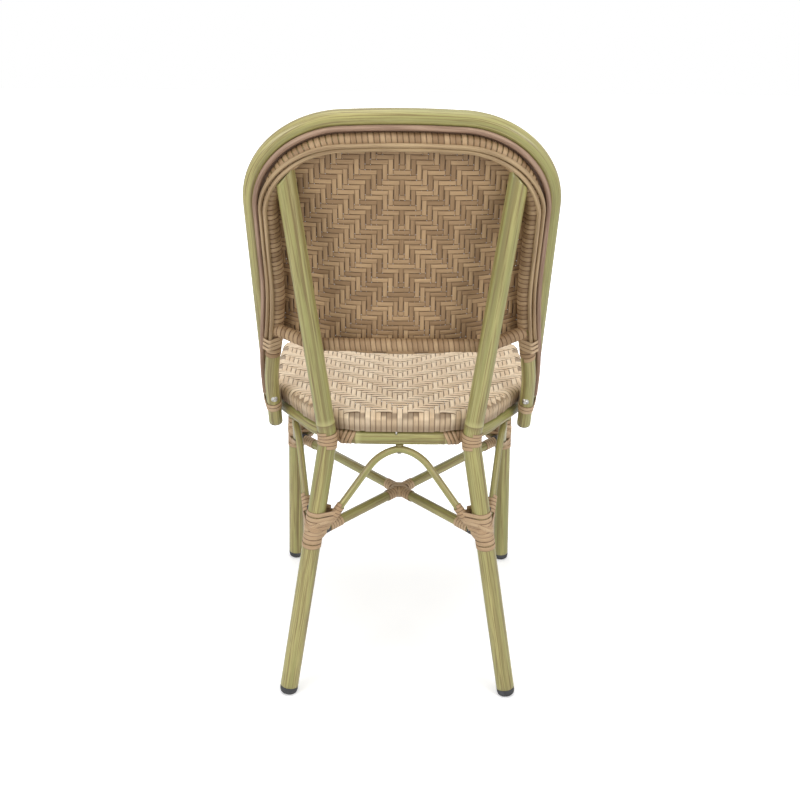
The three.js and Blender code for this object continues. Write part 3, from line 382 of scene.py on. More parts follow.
def blend(a, b, share):
    return a + (b - a) * share


def ease(place, start, run):
    """A smooth rise from 0 to 1 over a run."""
    share = np.clip((place - start) / run, 0, 1)
    return share * share * (3 - 2 * share)


def turned(vector, axis, angle):
    """A vector turned about an axis through the origin."""
    along = axis * np.dot(vector, axis)
    return along + (vector - along) * math.cos(angle) + np.cross(axis, vector) * math.sin(angle)


def same_side(points):
    return np.asarray(points, float)


def across_chair(points):
    """The same points on the other side of the chair."""
    return np.asarray(points, float) * (-1, 1, 1)


SIDES = (("left", same_side, 0), ("right", across_chair, RIGHT_PAINT))


def bent_line(corners, facet=math.radians(3)):
    """Straight runs and arcs through corners given as (point, bend radius)."""
    points = [corners[0][0]]
    for (past, _), (at, bend), (coming, _) in zip(corners, corners[1:], corners[2:]):
        before, after = toward(at, past), toward(at, coming)
        turn = math.pi - math.acos(np.clip(np.dot(before, after), -1, 1))
        reach = bend * math.tan(turn / 2)
        centre = at + unit(before + after) * bend / math.cos(turn / 2)
        start = at + before * reach - centre
        axis = -unit(np.cross(before, after))
        steps = max(4, math.ceil(turn / facet))
        points += [turned(start, axis, turn * i / steps) + centre for i in range(steps + 1)]
    points.append(corners[-1][0])
    return np.array(points)


def lengths_along(points):
    runs = np.linalg.norm(np.diff(points, axis=0), axis=1)
    return np.concatenate([[0], np.cumsum(runs)])


def at_lengths(points, lengths):
    """Points at given lengths along a line, running straight on past its ends."""
    walked = lengths_along(points)
    lengths = np.asarray(lengths, float)
    inside = np.stack([np.interp(lengths, walked, points[:, k]) for k in range(3)], axis=-1)
    early = np.minimum(lengths, 0)[..., None] * toward(points[0], points[1])
    late = np.maximum(lengths - walked[-1], 0)[..., None] * toward(points[-2], points[-1])
    return inside + early + late


def headings(points):
    """The direction of a line at each of its points."""
    return unit(np.gradient(points, axis=0))


def at_height(low, high, height):
    """Where the straight line through two points passes a height."""
    return blend(low, high, (height - low[2]) / (high[2] - low[2]))


# The chair's own lines

RING_HALF_LINE = bent_line([
    (point(0, RING_REAR, RING_HEIGHT), 0),
    (point(RING_REAR_HALF, RING_REAR, RING_HEIGHT), RING_REAR_BEND),
    (point(RING_SIDE_HALF, RING_SIDE_START, RING_HEIGHT), RING_SIDE_BEND),
    (point(RING_SIDE_HALF, RING_FRONT, RING_HEIGHT), RING_FRONT_BEND),
    (point(0, RING_FRONT, RING_HEIGHT), 0),
])
RING_LOOP = np.concatenate([RING_HALF_LINE, across_chair(RING_HALF_LINE[-2:0:-1])])

REAR_TURN = math.atan2(RING_REAR - RING_SIDE_START, RING_SIDE_HALF - RING_REAR_HALF)
REAR_REACH = RING_REAR_BEND * math.tan(REAR_TURN / 2)
KNEE_ANGLE = REAR_TURN * KNEE_BEND_SHARE
KNEE_REACH = RING_REAR_BEND + RING_RADIUS + KNEE_SPACE + LEG_RADIUS
KNEE_LENGTH = RING_REAR_HALF - REAR_REACH + RING_REAR_BEND * KNEE_ANGLE
KNEE = point(
    RING_REAR_HALF - REAR_REACH + KNEE_REACH * math.sin(KNEE_ANGLE) - KNEE_INSET,
    RING_REAR - RING_REAR_BEND + KNEE_REACH * math.cos(KNEE_ANGLE),
    KNEE_HEIGHT,
)
REAR_FOOT_AT = point(*REAR_FOOT)
FRONT_FOOT_AT = point(*FRONT_FOOT)
CORNER_INSET = RING_FRONT_BEND * (1 - math.sqrt(0.5))
FRONT_LEG_TOP = point(RING_SIDE_HALF - CORNER_INSET, RING_FRONT + CORNER_INSET, RING_HEIGHT)

HOOP_FOOT = point(0, HOOP_FOOT_BACK, HOOP_FOOT_HEIGHT)
HOOP_TOP = point(0, HOOP_TOP_BACK, HOOP_TOP_HEIGHT)
HOOP_UP = toward(HOOP_FOOT, HOOP_TOP)
HOOP_REAR = point(0, HOOP_UP[2], -HOOP_UP[1])
HOOP_RISE = float(np.linalg.norm(HOOP_TOP - HOOP_FOOT))
HOOP_SHOULDER = HOOP_RISE - HOOP_CROWN_RISE - HOOP_SHOULDER_RISE


def hoop_outline(start):
    """Side and rise of the hoop in its leaning plane, from one foot over the crown to the other."""
    rise = np.linspace(start, HOOP_SHOULDER, HOOP_STEPS, endpoint=False)
    side = blend(HOOP_FOOT_HALF, HOOP_HALF, rise / HOOP_SHOULDER)
    angle = np.linspace(0, math.pi / 2, HOOP_STEPS + 1)
    crown = 1 - np.arange(1, CROWN_STEPS + 1) / CROWN_STEPS
    side = np.concatenate([
        side, HOOP_CROWN_HALF + (HOOP_HALF - HOOP_CROWN_HALF) * np.cos(angle), HOOP_CROWN_HALF * crown])
    rise = np.concatenate([
        rise, HOOP_SHOULDER + HOOP_SHOULDER_RISE * np.sin(angle), HOOP_RISE - HOOP_CROWN_RISE * crown ** 2])
    return np.concatenate([side, -side[-2::-1]]), np.concatenate([rise, rise[-2::-1]])


def beside_hoop(start, offset_at):
    """A line that keeps beside the hoop, inward by one amount and to the rear by another."""
    side, rise = hoop_outline(start)
    run = unit(np.stack([np.gradient(side), np.gradient(rise)], axis=1))
    inset, back = offset_at(rise)
    points = HOOP_FOOT + np.outer(rise + run[:, 0] * inset, HOOP_UP) + np.outer(back, HOOP_REAR)
    points[:, 0] = side - run[:, 1] * inset
    return points


def polar(distance, bearing):
    """How far inward and how far to the rear of a hoop something lies."""
    turn = np.radians(bearing)
    return distance * np.cos(turn), distance * np.sin(turn)


def shoulder_share(rise):
    """How far a rise has gone over the rounded shoulder of the hoop."""
    return np.clip((rise - HOOP_SHOULDER) / HOOP_SHOULDER_RISE, 0, 1)


def bearing_at(rise, bearings):
    """A bearing that changes from foot to side to top."""
    foot, side, top = bearings
    low = blend(foot, side, ease(rise, INNER_TURN_START, INNER_TURN_RUN))
    return blend(low, top, shoulder_share(rise))


def inner_offset(rise):
    """Where the inner hoop lies beside the outer one, which it touches at the foot."""
    touching = 2 * HOOP_RADIUS + HOOP_GAP
    low = blend(touching, INNER_SIDE_SPACING, ease(rise, INNER_SPACING_START, INNER_SPACING_RUN))
    return polar(blend(low, INNER_TOP_SPACING, shoulder_share(rise)), bearing_at(rise, INNER_BEARINGS))


def filler_offset(rise):
    return polar(HOOP_RADIUS + FILLER_RADIUS + HOOP_GAP, bearing_at(rise, FILLER_BEARINGS))


def cane_offset(bearings):
    """Where a trim cane lies on the inner hoop, from bearings at its side and its top."""
    side, top = bearings

    def offset_at(rise):
        inset, back = inner_offset(rise)
        own = polar(HOOP_RADIUS + CANE_RADIUS + HOOP_GAP, blend(side, top, shoulder_share(rise)))
        return inset + own[0], back + own[1]
    return offset_at


OUTER_HOOP_LINE = beside_hoop(0, lambda rise: (0 * rise, 0 * rise))
INNER_HOOP_LINE = beside_hoop(-INNER_FOOT_DROP, inner_offset)
FILLER_LINE = beside_hoop(FILLER_START, filler_offset)
OUTER_CANE_LINE = beside_hoop(CANE_START, cane_offset(OUTER_CANE_BEARINGS))
INNER_CANE_LINE = beside_hoop(CANE_START, cane_offset(INNER_CANE_BEARINGS))
INNER_LEFT = INNER_HOOP_LINE[: (len(INNER_HOOP_LINE) + 1) // 2]


def inner_hoop_at(height):
    """Where the left half of the inner hoop passes a height."""
    return np.stack([np.interp(height, INNER_LEFT[:, 2], INNER_LEFT[:, k]) for k in range(3)], axis=-1)


POST_PLACE = HOOP_STEPS + round(HOOP_STEPS * POST_TOP_SHARE)
HOOP_BEFORE, POST_MEET, HOOP_AFTER = INNER_HOOP_LINE[POST_PLACE - 1:POST_PLACE + 2]
POST_INWARD = unit(np.cross(toward(HOOP_BEFORE, HOOP_AFTER), HOOP_REAR))
POST_TOP = POST_MEET + HOOP_REAR * POST_TOP_BACK
POST_AT_RAIL = at_height(KNEE, POST_TOP, RAIL_HEIGHT)
RAIL_PLACE = POST_AT_RAIL[1] - (LEG_RADIUS + RAIL_RADIUS + HOOP_GAP) / toward(KNEE, POST_TOP)[2]
RAIL_END = inner_hoop_at(RAIL_HEIGHT + RAIL_END_RISE) + HOOP_REAR * RAIL_END_BACK
RAIL_HALF_LINE = bent_line([
    (point(0, RAIL_PLACE, RAIL_HEIGHT), 0),
    (point(RAIL_FLAT_HALF, RAIL_PLACE, RAIL_HEIGHT), RAIL_BEND),
    (RAIL_END, 0),
])
RAIL_LINE = np.concatenate([across_chair(RAIL_HALF_LINE[:0:-1]), RAIL_HALF_LINE])

REAR_LEG_LINE = bent_line([
    (at_height(REAR_FOOT_AT, KNEE, CAP_HEIGHT), 0),
    (KNEE, KNEE_BEND),
    (POST_TOP + toward(KNEE, POST_TOP) * POST_PAST, 0),
])
FRONT_LEG_LINE = np.array([
    at_height(FRONT_FOOT_AT, FRONT_LEG_TOP, CAP_HEIGHT),
    FRONT_LEG_TOP - toward(FRONT_FOOT_AT, FRONT_LEG_TOP) * COPE_DEPTH,
])


def on_rear_leg(height):
    return at_height(REAR_FOOT_AT, KNEE, height)


def on_front_leg(height):
    return at_height(FRONT_FOOT_AT, FRONT_LEG_TOP, height)


BAR_REAR = on_rear_leg(BAR_HEIGHT)
BAR_FRONT = on_front_leg(BAR_HEIGHT)
LONG_END = across_chair(BAR_FRONT)
CROSSING = blend(BAR_REAR, LONG_END, BAR_REAR[0] / (BAR_REAR[0] - LONG_END[0]))
HALF_REAR_START = across_chair(BAR_REAR)
ARCH_APEX_HEIGHT = RING_HEIGHT - RING_RADIUS - SPACER_HEIGHT - ARCH_RADIUS


def ring_at(y):
    """Where the left side of the ring passes a depth."""
    side = RING_HALF_LINE[RING_HALF_LINE[:, 0] > RING_REAR_HALF / 2]
    order = np.argsort(side[:, 1])
    x = np.interp(y, side[order, 1], side[order, 0])
    return point(x, y, RING_HEIGHT)


def arch_side(apex, foot):
    """Half an arch, from its apex round the bend and straight down to its foot."""
    centre = apex[2] - ARCH_BEND
    span = math.hypot(foot[0] - apex[0], foot[1] - apex[1])
    drop = foot[2] - centre
    touch = math.atan2(drop, span) + math.acos(ARCH_BEND / math.hypot(span, drop))
    points = []
    for angle in np.linspace(math.pi / 2, touch, ARCH_STEPS):
        at = blend(apex, foot, ARCH_BEND * math.cos(angle) / span)
        at[2] = centre + ARCH_BEND * math.sin(angle)
        points.append(at)
    return np.array(points + [foot])


def arch_line(apex, foot_a, foot_b):
    return np.concatenate([arch_side(apex, foot_a)[::-1], arch_side(apex, foot_b)[1:]])


REAR_APEX = point(0, RING_REAR, ARCH_APEX_HEIGHT)
FRONT_APEX = point(0, RING_FRONT, ARCH_APEX_HEIGHT)
SIDE_APEX = ring_at(SIDE_ARCH_PLACE) * (1, 1, 0) + (0, 0, ARCH_APEX_HEIGHT)
REAR_ARCH_FOOT = on_rear_leg(ARCH_FOOT_HEIGHT)
FRONT_ARCH_FOOT = on_front_leg(ARCH_FOOT_HEIGHT)


# Meshes

def make_object(name, mesh, material, nodes):
    """A finished piece that rides on the frame and stands for the nodes that it replaces."""
    piece = bpy.data.objects.new(name, mesh)
    bpy.context.scene.collection.objects.link(piece)
    mesh.materials.clear()
    mesh.materials.append(material)
    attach(piece, "root")
    if nodes:
        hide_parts(*nodes)
    return piece


def placed(points):
    """Points of the chair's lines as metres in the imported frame."""
    return (np.asarray(points, float) + (0, DEPTH_SHIFT, 0)) * MM


class Shape:
    """Rings of points that are skinned into one mesh, with a UV map in metres along and turns round."""

    def __init__(self):
        self.points, self.faces, self.maps, self.values = [], [], [], {}
        self.count = 0

    def add_rings(self, rings, along, **values):
        """Closed rings from one end to the other. The last ring and the first are closed to a point."""
        rings = np.asarray(rings, float)
        rows, sides, _ = rings.shape
        base = self.count
        around = np.arange(sides + 1) / sides
        for name in set(self.values) | set(values):
            fill = np.repeat(np.broadcast_to(values.get(name, 0.0), (rows,)), sides)
            self.values.setdefault(name, [np.zeros(base)] if base else []).append(fill)
        self.points.append(rings.reshape(-1, 3))
        ring, side = np.meshgrid(np.arange(rows - 1), np.arange(sides), indexing="ij")
        after = (side + 1) % sides
        here, there = ring * sides, (ring + 1) * sides
        quads = np.stack([here + side, here + after, there + after, there + side], axis=-1) + base
        u = np.asarray(along, float)
        corners = ((0, 0), (0, 1), (1, 1), (1, 0))
        maps = np.stack([np.stack([u[ring + i], around[side + k]], -1) for i, k in corners], axis=-2)
        self.faces.append(quads.reshape(-1, 4))
        self.maps.append(maps.reshape(-1, 2))
        self.count += rows * sides

    def mesh(self, name):
        mesh = bpy.data.meshes.new(name)
        points = placed(np.concatenate(self.points))
        faces = np.concatenate(self.faces)
        mesh.from_pydata(points.tolist(), [], faces.tolist())
        layer = mesh.uv_layers.new(name="UVMap")
        layer.data.foreach_set("uv", np.concatenate(self.maps).ravel())
        for key, parts in self.values.items():
            attribute = mesh.attributes.new(key, "FLOAT", "POINT")
            attribute.data.foreach_set("value", np.concatenate(parts))
        mesh.polygons.foreach_set("use_smooth", np.ones(len(faces), bool))
        mesh.update()
        return mesh


def carried_frames(points):
    """Two directions square to a line that never spin along it."""
    ahead = headings(points)
    level = abs(ahead[0][2]) < abs(ahead[0][0]) + abs(ahead[0][1])
    out = UP if level else point(1, 0, 0)
    outs = []
    for direction in ahead:
        out = unit(out - direction * np.dot(out, direction))
        outs.append(out)
    return outs, np.cross(ahead, outs)


def circle(out, side, sides):
    """A ring of points one away from its middle."""
    turns = np.arange(sides) * 2 * math.pi / sides
    return np.outer(np.cos(turns), out) + np.outer(np.sin(turns), side)


def add_tube(shape, line, radius, sides, joints=(), end=FLAT_END, start=0):
    """A round tube along a line, with the rings of bamboo joints at the given lengths."""
    walked = lengths_along(line)[-1]
    stations = set(np.linspace(0, walked, max(3, math.ceil(walked / TUBE_STEP) + 1)))
    for joint in joints:
        stations |= {joint + beside for beside in JOINT_STATIONS if 0 < joint + beside < walked}
    stations = np.array(sorted(stations))
    points = at_lengths(line, stations)
    radii = np.full(len(stations), float(radius))
    away = np.full(len(stations), NO_JOINT)
    for joint in joints:
        gap = stations - joint
        radii *= 1 + JOINT_SWELL * np.exp(-(gap / JOINT_RUN) ** 2)
        away = np.where(abs(gap) < abs(away), gap, away)
    rows = list(zip(points, *carried_frames(points), radii, stations, away))
    caps = []
    for last, before in ((0, 1), (-1, -2)):
        at, out, side, own, place, gap = rows[last]
        heading = toward(points[before], at) * own
        caps.append([(at + heading * reach, out, side, own * share, place, gap) for share, reach in end])
    rows = caps[0][::-1] + rows + caps[1]
    rings = [at + own * circle(out, side, sides) for at, out, side, own, _, _ in rows]
    along = [(start + place) * MM for *_, place, _ in rows]
    shape.add_rings(rings, along, joint=[gap * MM for *_, gap in rows])


def close_up(mesh):
    """Merges the points of closed ends and turns the faces outward."""
    work = bmesh.new()
    work.from_mesh(mesh)
    bmesh.ops.remove_doubles(work, verts=work.verts, dist=MERGE_DISTANCE)
    bmesh.ops.dissolve_degenerate(work, edges=work.edges, dist=LEAST_EDGE)
    bmesh.ops.recalc_face_normals(work, faces=work.faces)
    work.to_mesh(mesh)
    work.free()
    return mesh


def shape_piece(name, shape, material, nodes):
    return make_object(name, close_up(shape.mesh(name)), material, nodes)


def turned_shape(profile, base, axis, sides):
    """A turned body from (radius, height) pairs on a base along an axis."""
    axis = unit(axis)
    guide = UP if abs(axis[2]) < STEEP else point(1, 0, 0)
    out = unit(guide - axis * np.dot(guide, axis))
    ring = circle(out, np.cross(axis, out), sides)
    walked = lengths_along(np.array(profile, float))
    shape = Shape()
    shape.add_rings([base + axis * height + ring * radius for radius, height in profile], walked * MM)
    return shape


def turned_piece(name, profile, base, axis, material, nodes, sides=TURNED_SIDES):
    shape_piece(name, turned_shape(profile, base, axis, sides), material, nodes)


def tube_piece(name, line, radius, material, nodes, slot="frame_tube", **details):
    shape = Shape()
    add_tube(shape, line, radius, details.pop("sides", TUBE_SIDES), **details)
    shape_piece(name, shape, material, nodes)


# Laid strips

STRIP_INPUTS = {"Strip Width": 6, "Strip Thickness": 1.2, "Wave Height": 0.6, "Uneven Lay": 0.2}


def make_node(tree, kind, inputs=None, **settings):
    """A node with its settings, and with a value or a link for each input that is named."""
    node = tree.nodes.new(kind)
    for key, value in settings.items():
        setattr(node, key, value)
    for key, value in (inputs or {}).items():
        if isinstance(value, bpy.types.NodeSocket):
            tree.links.new(value, node.inputs[key])
        elif value is not None:
            node.inputs[key].default_value = value
    return node


def socket_id(tree, name):
    return next(item.identifier for item in tree.interface.items_tree if item.name == name)


def laid_strips_tree():
    """Geometry Nodes that turn centre lines into flat strips, lifted and lowered where they cross."""
    if "Laid strips" in bpy.data.node_groups:
        return bpy.data.node_groups["Laid strips"]
    tree = bpy.data.node_groups.new("Laid strips", "GeometryNodeTree")
    face = tree.interface
    face.new_socket("Geometry", in_out="INPUT", socket_type="NodeSocketGeometry")
    for name, value in STRIP_INPUTS.items():
        socket = face.new_socket(name, in_out="INPUT", socket_type="NodeSocketFloat")
        socket.subtype = "DISTANCE"
        socket.default_value = value * MM
    face.new_socket("Seed", in_out="INPUT", socket_type="NodeSocketInt")
    face.new_socket("Material", in_out="INPUT", socket_type="NodeSocketMaterial")
    face.new_socket("Geometry", in_out="OUTPUT", socket_type="NodeSocketGeometry")

    def node(kind, inputs=None, **settings):
        return make_node(tree, kind, inputs, **settings)

    def maths(operation, a, b=None):
        return node("ShaderNodeMath", {0: a, 1: b}, operation=operation).outputs[0]

    def named(name, kind="FLOAT"):
        return node("GeometryNodeInputNamedAttribute", {"Name": name}, data_type=kind).outputs["Attribute"]

    def store(geometry, name, value, kind="FLOAT", domain="POINT"):
        inputs = {"Geometry": geometry, "Name": name, "Value": value}
        return node("GeometryNodeStoreNamedAttribute", inputs, data_type=kind, domain=domain).outputs[0]

    def position():
        return node("ShaderNodeSeparateXYZ", {0: node("GeometryNodeInputPosition").outputs[0]}).outputs

    given = node("NodeGroupInput").outputs
    lines = node("GeometryNodeMeshToCurve", {"Mesh": given["Geometry"]})

    # Each strip has its own tint, and keeps the length along it for its fibres
    index = node("GeometryNodeInputIndex").outputs[0]
    tint = node("FunctionNodeRandomValue", {"Seed": given["Seed"], "ID": index}, data_type="FLOAT")
    own = next(socket for socket in tint.outputs if socket.enabled)
    geometry = store(lines.outputs[0], "tint", own, domain="CURVE")
    geometry = store(geometry, "along", node("GeometryNodeSplineParameter").outputs["Length"])

    # The strip rises and dips by its wave, and lies a little unevenly
    out = named("out", "FLOAT_VECTOR")
    noise = node("ShaderNodeTexNoise", {"Scale": LAY_SCALE}).outputs["Fac"]
    lay = maths("MULTIPLY", maths("SUBTRACT", noise, 0.5), given["Uneven Lay"])
    lift = maths("ADD", maths("MULTIPLY", named("wave"), given["Wave Height"]), maths("MULTIPLY", lay, 2))
    offset = node("ShaderNodeVectorMath", {0: out, "Scale": lift}, operation="SCALE").outputs[0]
    moved = node("GeometryNodeSetPosition", {"Geometry": geometry, "Offset": offset}).outputs[0]
    facing = node("GeometryNodeSetCurveNormal", {"Curve": moved}, mode="FREE")
    tree.links.new(out, facing.inputs["Normal"])

    # A flat section with rounded edges
    start = node("GeometryNodeCurvePrimitiveCircle", {"Resolution": SECTION_POINTS, "Radius": SECTION_RADIUS})
    turn = {"Geometry": start.outputs[0], "Rotation": (0, 0, math.pi / SECTION_POINTS)}
    at = position()
    side = maths("MULTIPLY", maths("SIGN", at["Y"]), maths("POWER", maths("ABSOLUTE", at["Y"]), FLAT_POWER))
    side = maths("MULTIPLY", side, 0.5 ** (1 - FLAT_POWER))
    squared = {"Geometry": node("GeometryNodeTransform", turn).outputs[0],
               "Position": node("ShaderNodeCombineXYZ", {"X": at["X"], "Y": side}).outputs[0]}
    section = store(node("GeometryNodeSetPosition", squared).outputs[0], "round", position()["Y"])
    scale = node("ShaderNodeCombineXYZ", {"X": given["Strip Thickness"], "Y": given["Strip Width"], "Z": 1})
    flat = node("GeometryNodeTransform", {"Geometry": section, "Scale": scale.outputs[0]})
    swept = node("GeometryNodeCurveToMesh", {"Curve": facing.outputs[0], "Profile Curve": flat.outputs[0],
                                             "Scale": named("spread"), "Fill Caps": True})

    uv = node("ShaderNodeCombineXYZ", {"X": named("along"), "Y": named("round")})
    mapped = store(swept.outputs[0], "UVMap", uv.outputs[0], "FLOAT2", "CORNER")
    smooth = node("GeometryNodeSetShadeSmooth", {"Geometry": mapped})
    real = node("GeometryNodeRealizeInstances", {"Geometry": smooth.outputs[0]})
    finish = node("GeometryNodeSetMaterial", {"Geometry": real.outputs[0], "Material": given["Material"]})
    node("NodeGroupOutput", {"Geometry": finish.outputs[0]})
    return tree


def strip_piece(name, strips, sizes, material, nodes, seed):
    """A piece of laid strips. Each strip is (points, outs, wave, spread), and sizes are in metres."""
    counts = [len(strip[0]) for strip in strips]
    points = np.concatenate([placed(strip[0]) for strip in strips])
    outs = np.concatenate([unit(strip[1]) for strip in strips])
    starts = np.cumsum([0] + counts)
    edges = [(i, i + 1) for start, past in zip(starts, starts[1:]) for i in range(start, past - 1)]
    lines = bpy.data.meshes.new(name + "_lines")
    lines.from_pydata(points.tolist(), edges, [])
    lines.attributes.new("out", "FLOAT_VECTOR", "POINT").data.foreach_set("vector", outs.ravel())
    for key, part in (("wave", 2), ("spread", 3)):
        values = [np.broadcast_to(strip[part], count) for strip, count in zip(strips, counts)]
        lines.attributes.new(key, "FLOAT", "POINT").data.foreach_set("value", np.concatenate(values))
    holder = bpy.data.objects.new(name + "_lines", lines)
    bpy.context.scene.collection.objects.link(holder)
    tree = laid_strips_tree()
    modifier = holder.modifiers.new("Laid strips", "NODES")
    modifier.node_group = tree
    for key, value in dict(zip(STRIP_INPUTS, sizes), Seed=seed, Material=material).items():
        modifier[socket_id(tree, key)] = value
    shown = holder.evaluated_get(bpy.context.evaluated_depsgraph_get())
    mesh = bpy.data.meshes.new_from_object(shown)
    mesh.name = name
    holder.modifiers.remove(modifier)
    bpy.data.objects.remove(holder)
    bpy.data.meshes.remove(lines)
    make_object(name, mesh, material, nodes)


def wave_of(phase):
    """Over three and under three, with quick changes between."""
    return np.clip(WAVE_SHARPNESS * np.sin(2 * math.pi * phase), -1, 1)


# Wound strips

def round_line(line, lengths, angle, reach, guide):
    """Points round a line at lengths and angles from a guide, with the outward directions."""
    points = at_lengths(line, lengths)
    delta = 0.5
    ahead = unit(at_lengths(line, lengths + delta) - at_lengths(line, lengths - delta))
    guide = np.broadcast_to(guide, points.shape)
    first = unit(guide - ahead * np.sum(guide * ahead, axis=1, keepdims=True))
    side = np.cross(ahead, first)
    outward = first * np.cos(angle)[:, None] + side * np.sin(angle)[:, None]
    return points + outward * np.broadcast_to(reach, len(points))[:, None], outward


def turns_of(count, steps=STRIP_STEPS):
    """Small steps through so many turns, counted in turns."""
    return np.arange(math.ceil(count * steps) + 1) / steps


def winding_places(line, start, count, reach, guide, pitch=STRIP_PITCH, steps=STRIP_STEPS):
    """A strip wound round a line turn by turn."""
    turn = turns_of(count, steps)
    return round_line(line, start + pitch * turn, turn * 2 * math.pi, reach, guide)


def leaning_turn(line, place, lean, reach, guide):
    """One turn that leans along its line, with its ends lapped."""
    angle = np.linspace(0, 2 * math.pi + TURN_LAP, STRIP_STEPS)
    lengths = place - lean * np.cos(angle)
    return (*round_line(line, lengths, angle, reach + LAP_RISE * angle, guide), 0, NARROW)


def wound(points, outward, lap=STRIP_STEPS, most=1):
    """A strip that is as wide as the room between its neighbouring turns, up to a limit."""
    gap = np.linalg.norm(points[lap:] - points[:-lap], axis=1)
    ends = np.full(lap, np.inf)
    room = np.minimum(np.concatenate([ends, gap]), np.concatenate([gap, ends])) - STRIP_SPACE
    return points, outward, 0, np.minimum(room / (STRIP_PITCH - STRIP_SPACE), most)


def mirrored_strip(strip):
    points, outs, wave, spread = strip
    return across_chair(points), across_chair(outs), wave, spread


def level_gap(start, end):
    """Level distance and direction from one point to another."""
    gap = (end - start) * (1, 1, 0)
    distance = float(np.linalg.norm(gap))
    return distance, gap / max(distance, TINY)


def lobes(leg_at, arches, height, limit):
    """Circles of the leg, the arch feet and the bar where they pass a height beside one joint."""
    centre = leg_at(height)
    circles = [(centre, LEG_RADIUS)]
    for line in arches:
        at = np.array([np.interp(height, line[:, 2], line[:, k]) for k in range(3)])
        distance, direction = level_gap(centre, at)
        kept = distance if distance <= limit else max(0, limit - LOBE_FADE * (distance - limit))
        circles.append((centre + direction * kept, ARCH_RADIUS))
    off = (height - BAR_HEIGHT) / (BAR_RADIUS + BAR_LOBE_ROOM)
    if abs(off) < 1:
        direction = level_gap(centre, CROSSING)[1]
        circles.append((centre + direction * BAR_LOBE_REACH * math.sqrt(1 - off * off), BAR_RADIUS - 1))
    return circles


def stretched_round(circles, facing):
    """The centre and radius of the circle that reaches furthest one way."""
    return max(circles, key=lambda circle: circle[0] @ facing + circle[1])


def lashed(leg_at, arches, limit, angles, heights, reach):
    """A strip stretched round a leg and all that joins it there, on its way round and down."""
    axis = toward(leg_at(0), leg_at(1))
    points, outs = [], []
    for angle, height in zip(angles, heights):
        facing = point(math.cos(angle), math.sin(angle), 0)
        centre, radius = stretched_round(lobes(leg_at, arches, height, limit), facing)
        points.append(centre + facing * (radius + reach))
        outs.append(facing - axis * (facing @ axis))
    return np.array(points), unit(outs)


def level_angle(vector):
    return math.atan2(vector[1], vector[0])


def leg_lashing(leg_at, arches, reach):
    """The turns of one leg joint: level ones all the way down, then two that climb over each arch foot."""
    turn = turns_of(LEG_BINDING_TURNS)
    first = level_angle(level_gap(leg_at(BAR_HEIGHT), CROSSING)[1])
    drift = LEG_BINDING_DRIFT * np.sin(turn * 2 * math.pi * LEG_BINDING_DRIFT_TURNS)
    heights = LEG_BINDING_TOP - LEG_BINDING_PITCH * turn + drift
    widths = LEG_BINDING_WIDTH + LEG_BINDING_UNEVEN * np.sin(turn * LEG_BINDING_UNEVEN_TURNS)
    level = lashed(leg_at, arches, LOBE_REACH, first + turn * 2 * math.pi, heights, reach)
    strips = [(*level, 0, widths)]
    over = leg_at(ARCH_FOOT_HEIGHT + ARCH_BEARING_HEIGHT)
    for line in arches:
        inward = level_gap(over, at_lengths(line, np.array([ARCH_BEARING_LENGTH]))[0])[1]
        around = np.linspace(CLIMBING_START, 2 * math.pi + CLIMBING_END, STRIP_STEPS)
        for middle, climb in CLIMBING_TURNS:
            climbing = lashed(leg_at, [line], CLIMBING_REACH, level_angle(inward) + around,
                              middle + climb * np.cos(around), reach + CLIMBING_LIFT)
            strips.append((*climbing, 0, CLIMBING_WIDTH))
        foot = winding_places(line, ARCH_BINDING_START, ARCH_TURNS, ARCH_RADIUS + reach + ARCH_BINDING_LIFT,
                              point(0, 1, 0), BAR_PITCH)
        strips.append(wound(*foot, most=NARROW))
    return strips


def side_winding(reach):
    """Turns round the inner hoop and the ends of both trim canes."""
    circles = [(point(0, 0, 0), HOOP_RADIUS)]
    for place, _ in (OUTER_CANE_BEARINGS, INNER_CANE_BEARINGS):
        inset, back = polar(HOOP_RADIUS + CANE_RADIUS + HOOP_GAP, place)
        circles.append((point(-inset, 0, 0) + HOOP_REAR * back, CANE_RADIUS))
    points, outs = [], []
    for turn in turns_of(SIDE_TURNS):
        angle = turn * 2 * math.pi
        outward = point(1, 0, 0) * math.cos(angle) + HOOP_REAR * math.sin(angle)
        centre, radius = stretched_round(circles, outward)
        length = SIDE_BINDING_START + INNER_FOOT_DROP + turn * STRIP_PITCH
        points.append(at_lengths(INNER_LEFT, np.array([length]))[0] + centre + outward * (radius + reach))
        outs.append(outward)
    return wound(np.array(points), np.array(outs))


def at_rise(line, rise):
    """Where the left half of a hoop's line reaches a rise in the hoops' leaning plane."""
    half = line[: (len(line) + 1) // 2]
    rises = (half - HOOP_FOOT) @ HOOP_UP
    return np.stack([np.interp(rise, rises, half[:, k]) for k in range(3)], axis=-1)


def hoop_feet_winding(reach):
    """Turns round the feet of both hoops at once."""
    fan = STRIP_STEPS // 2
    lap = 2 * (fan + 1)
    points, outs = [], []
    for i in range(HOOP_TURNS * lap + 1):
        rise = HOOP_BINDING_START + STRIP_PITCH * i / lap
        outer, inner = at_rise(OUTER_HOOP_LINE, rise), at_rise(INNER_HOOP_LINE, rise)
        step = i % lap
        centre = inner if step > fan else outer
        angle = -math.pi / 2 + math.pi * (step - 1 if step > fan else step) / fan
        outward = turned(toward(inner, outer), HOOP_UP, angle)
        points.append(centre + outward * reach)
        outs.append(outward)
    return wound(np.array(points), np.array(outs), lap)


def rounded_square(share):
    """A sine or cosine pressed outward, so that a loop is squarer than a circle."""
    return np.sign(share) * abs(share) ** CROSS_ROUND


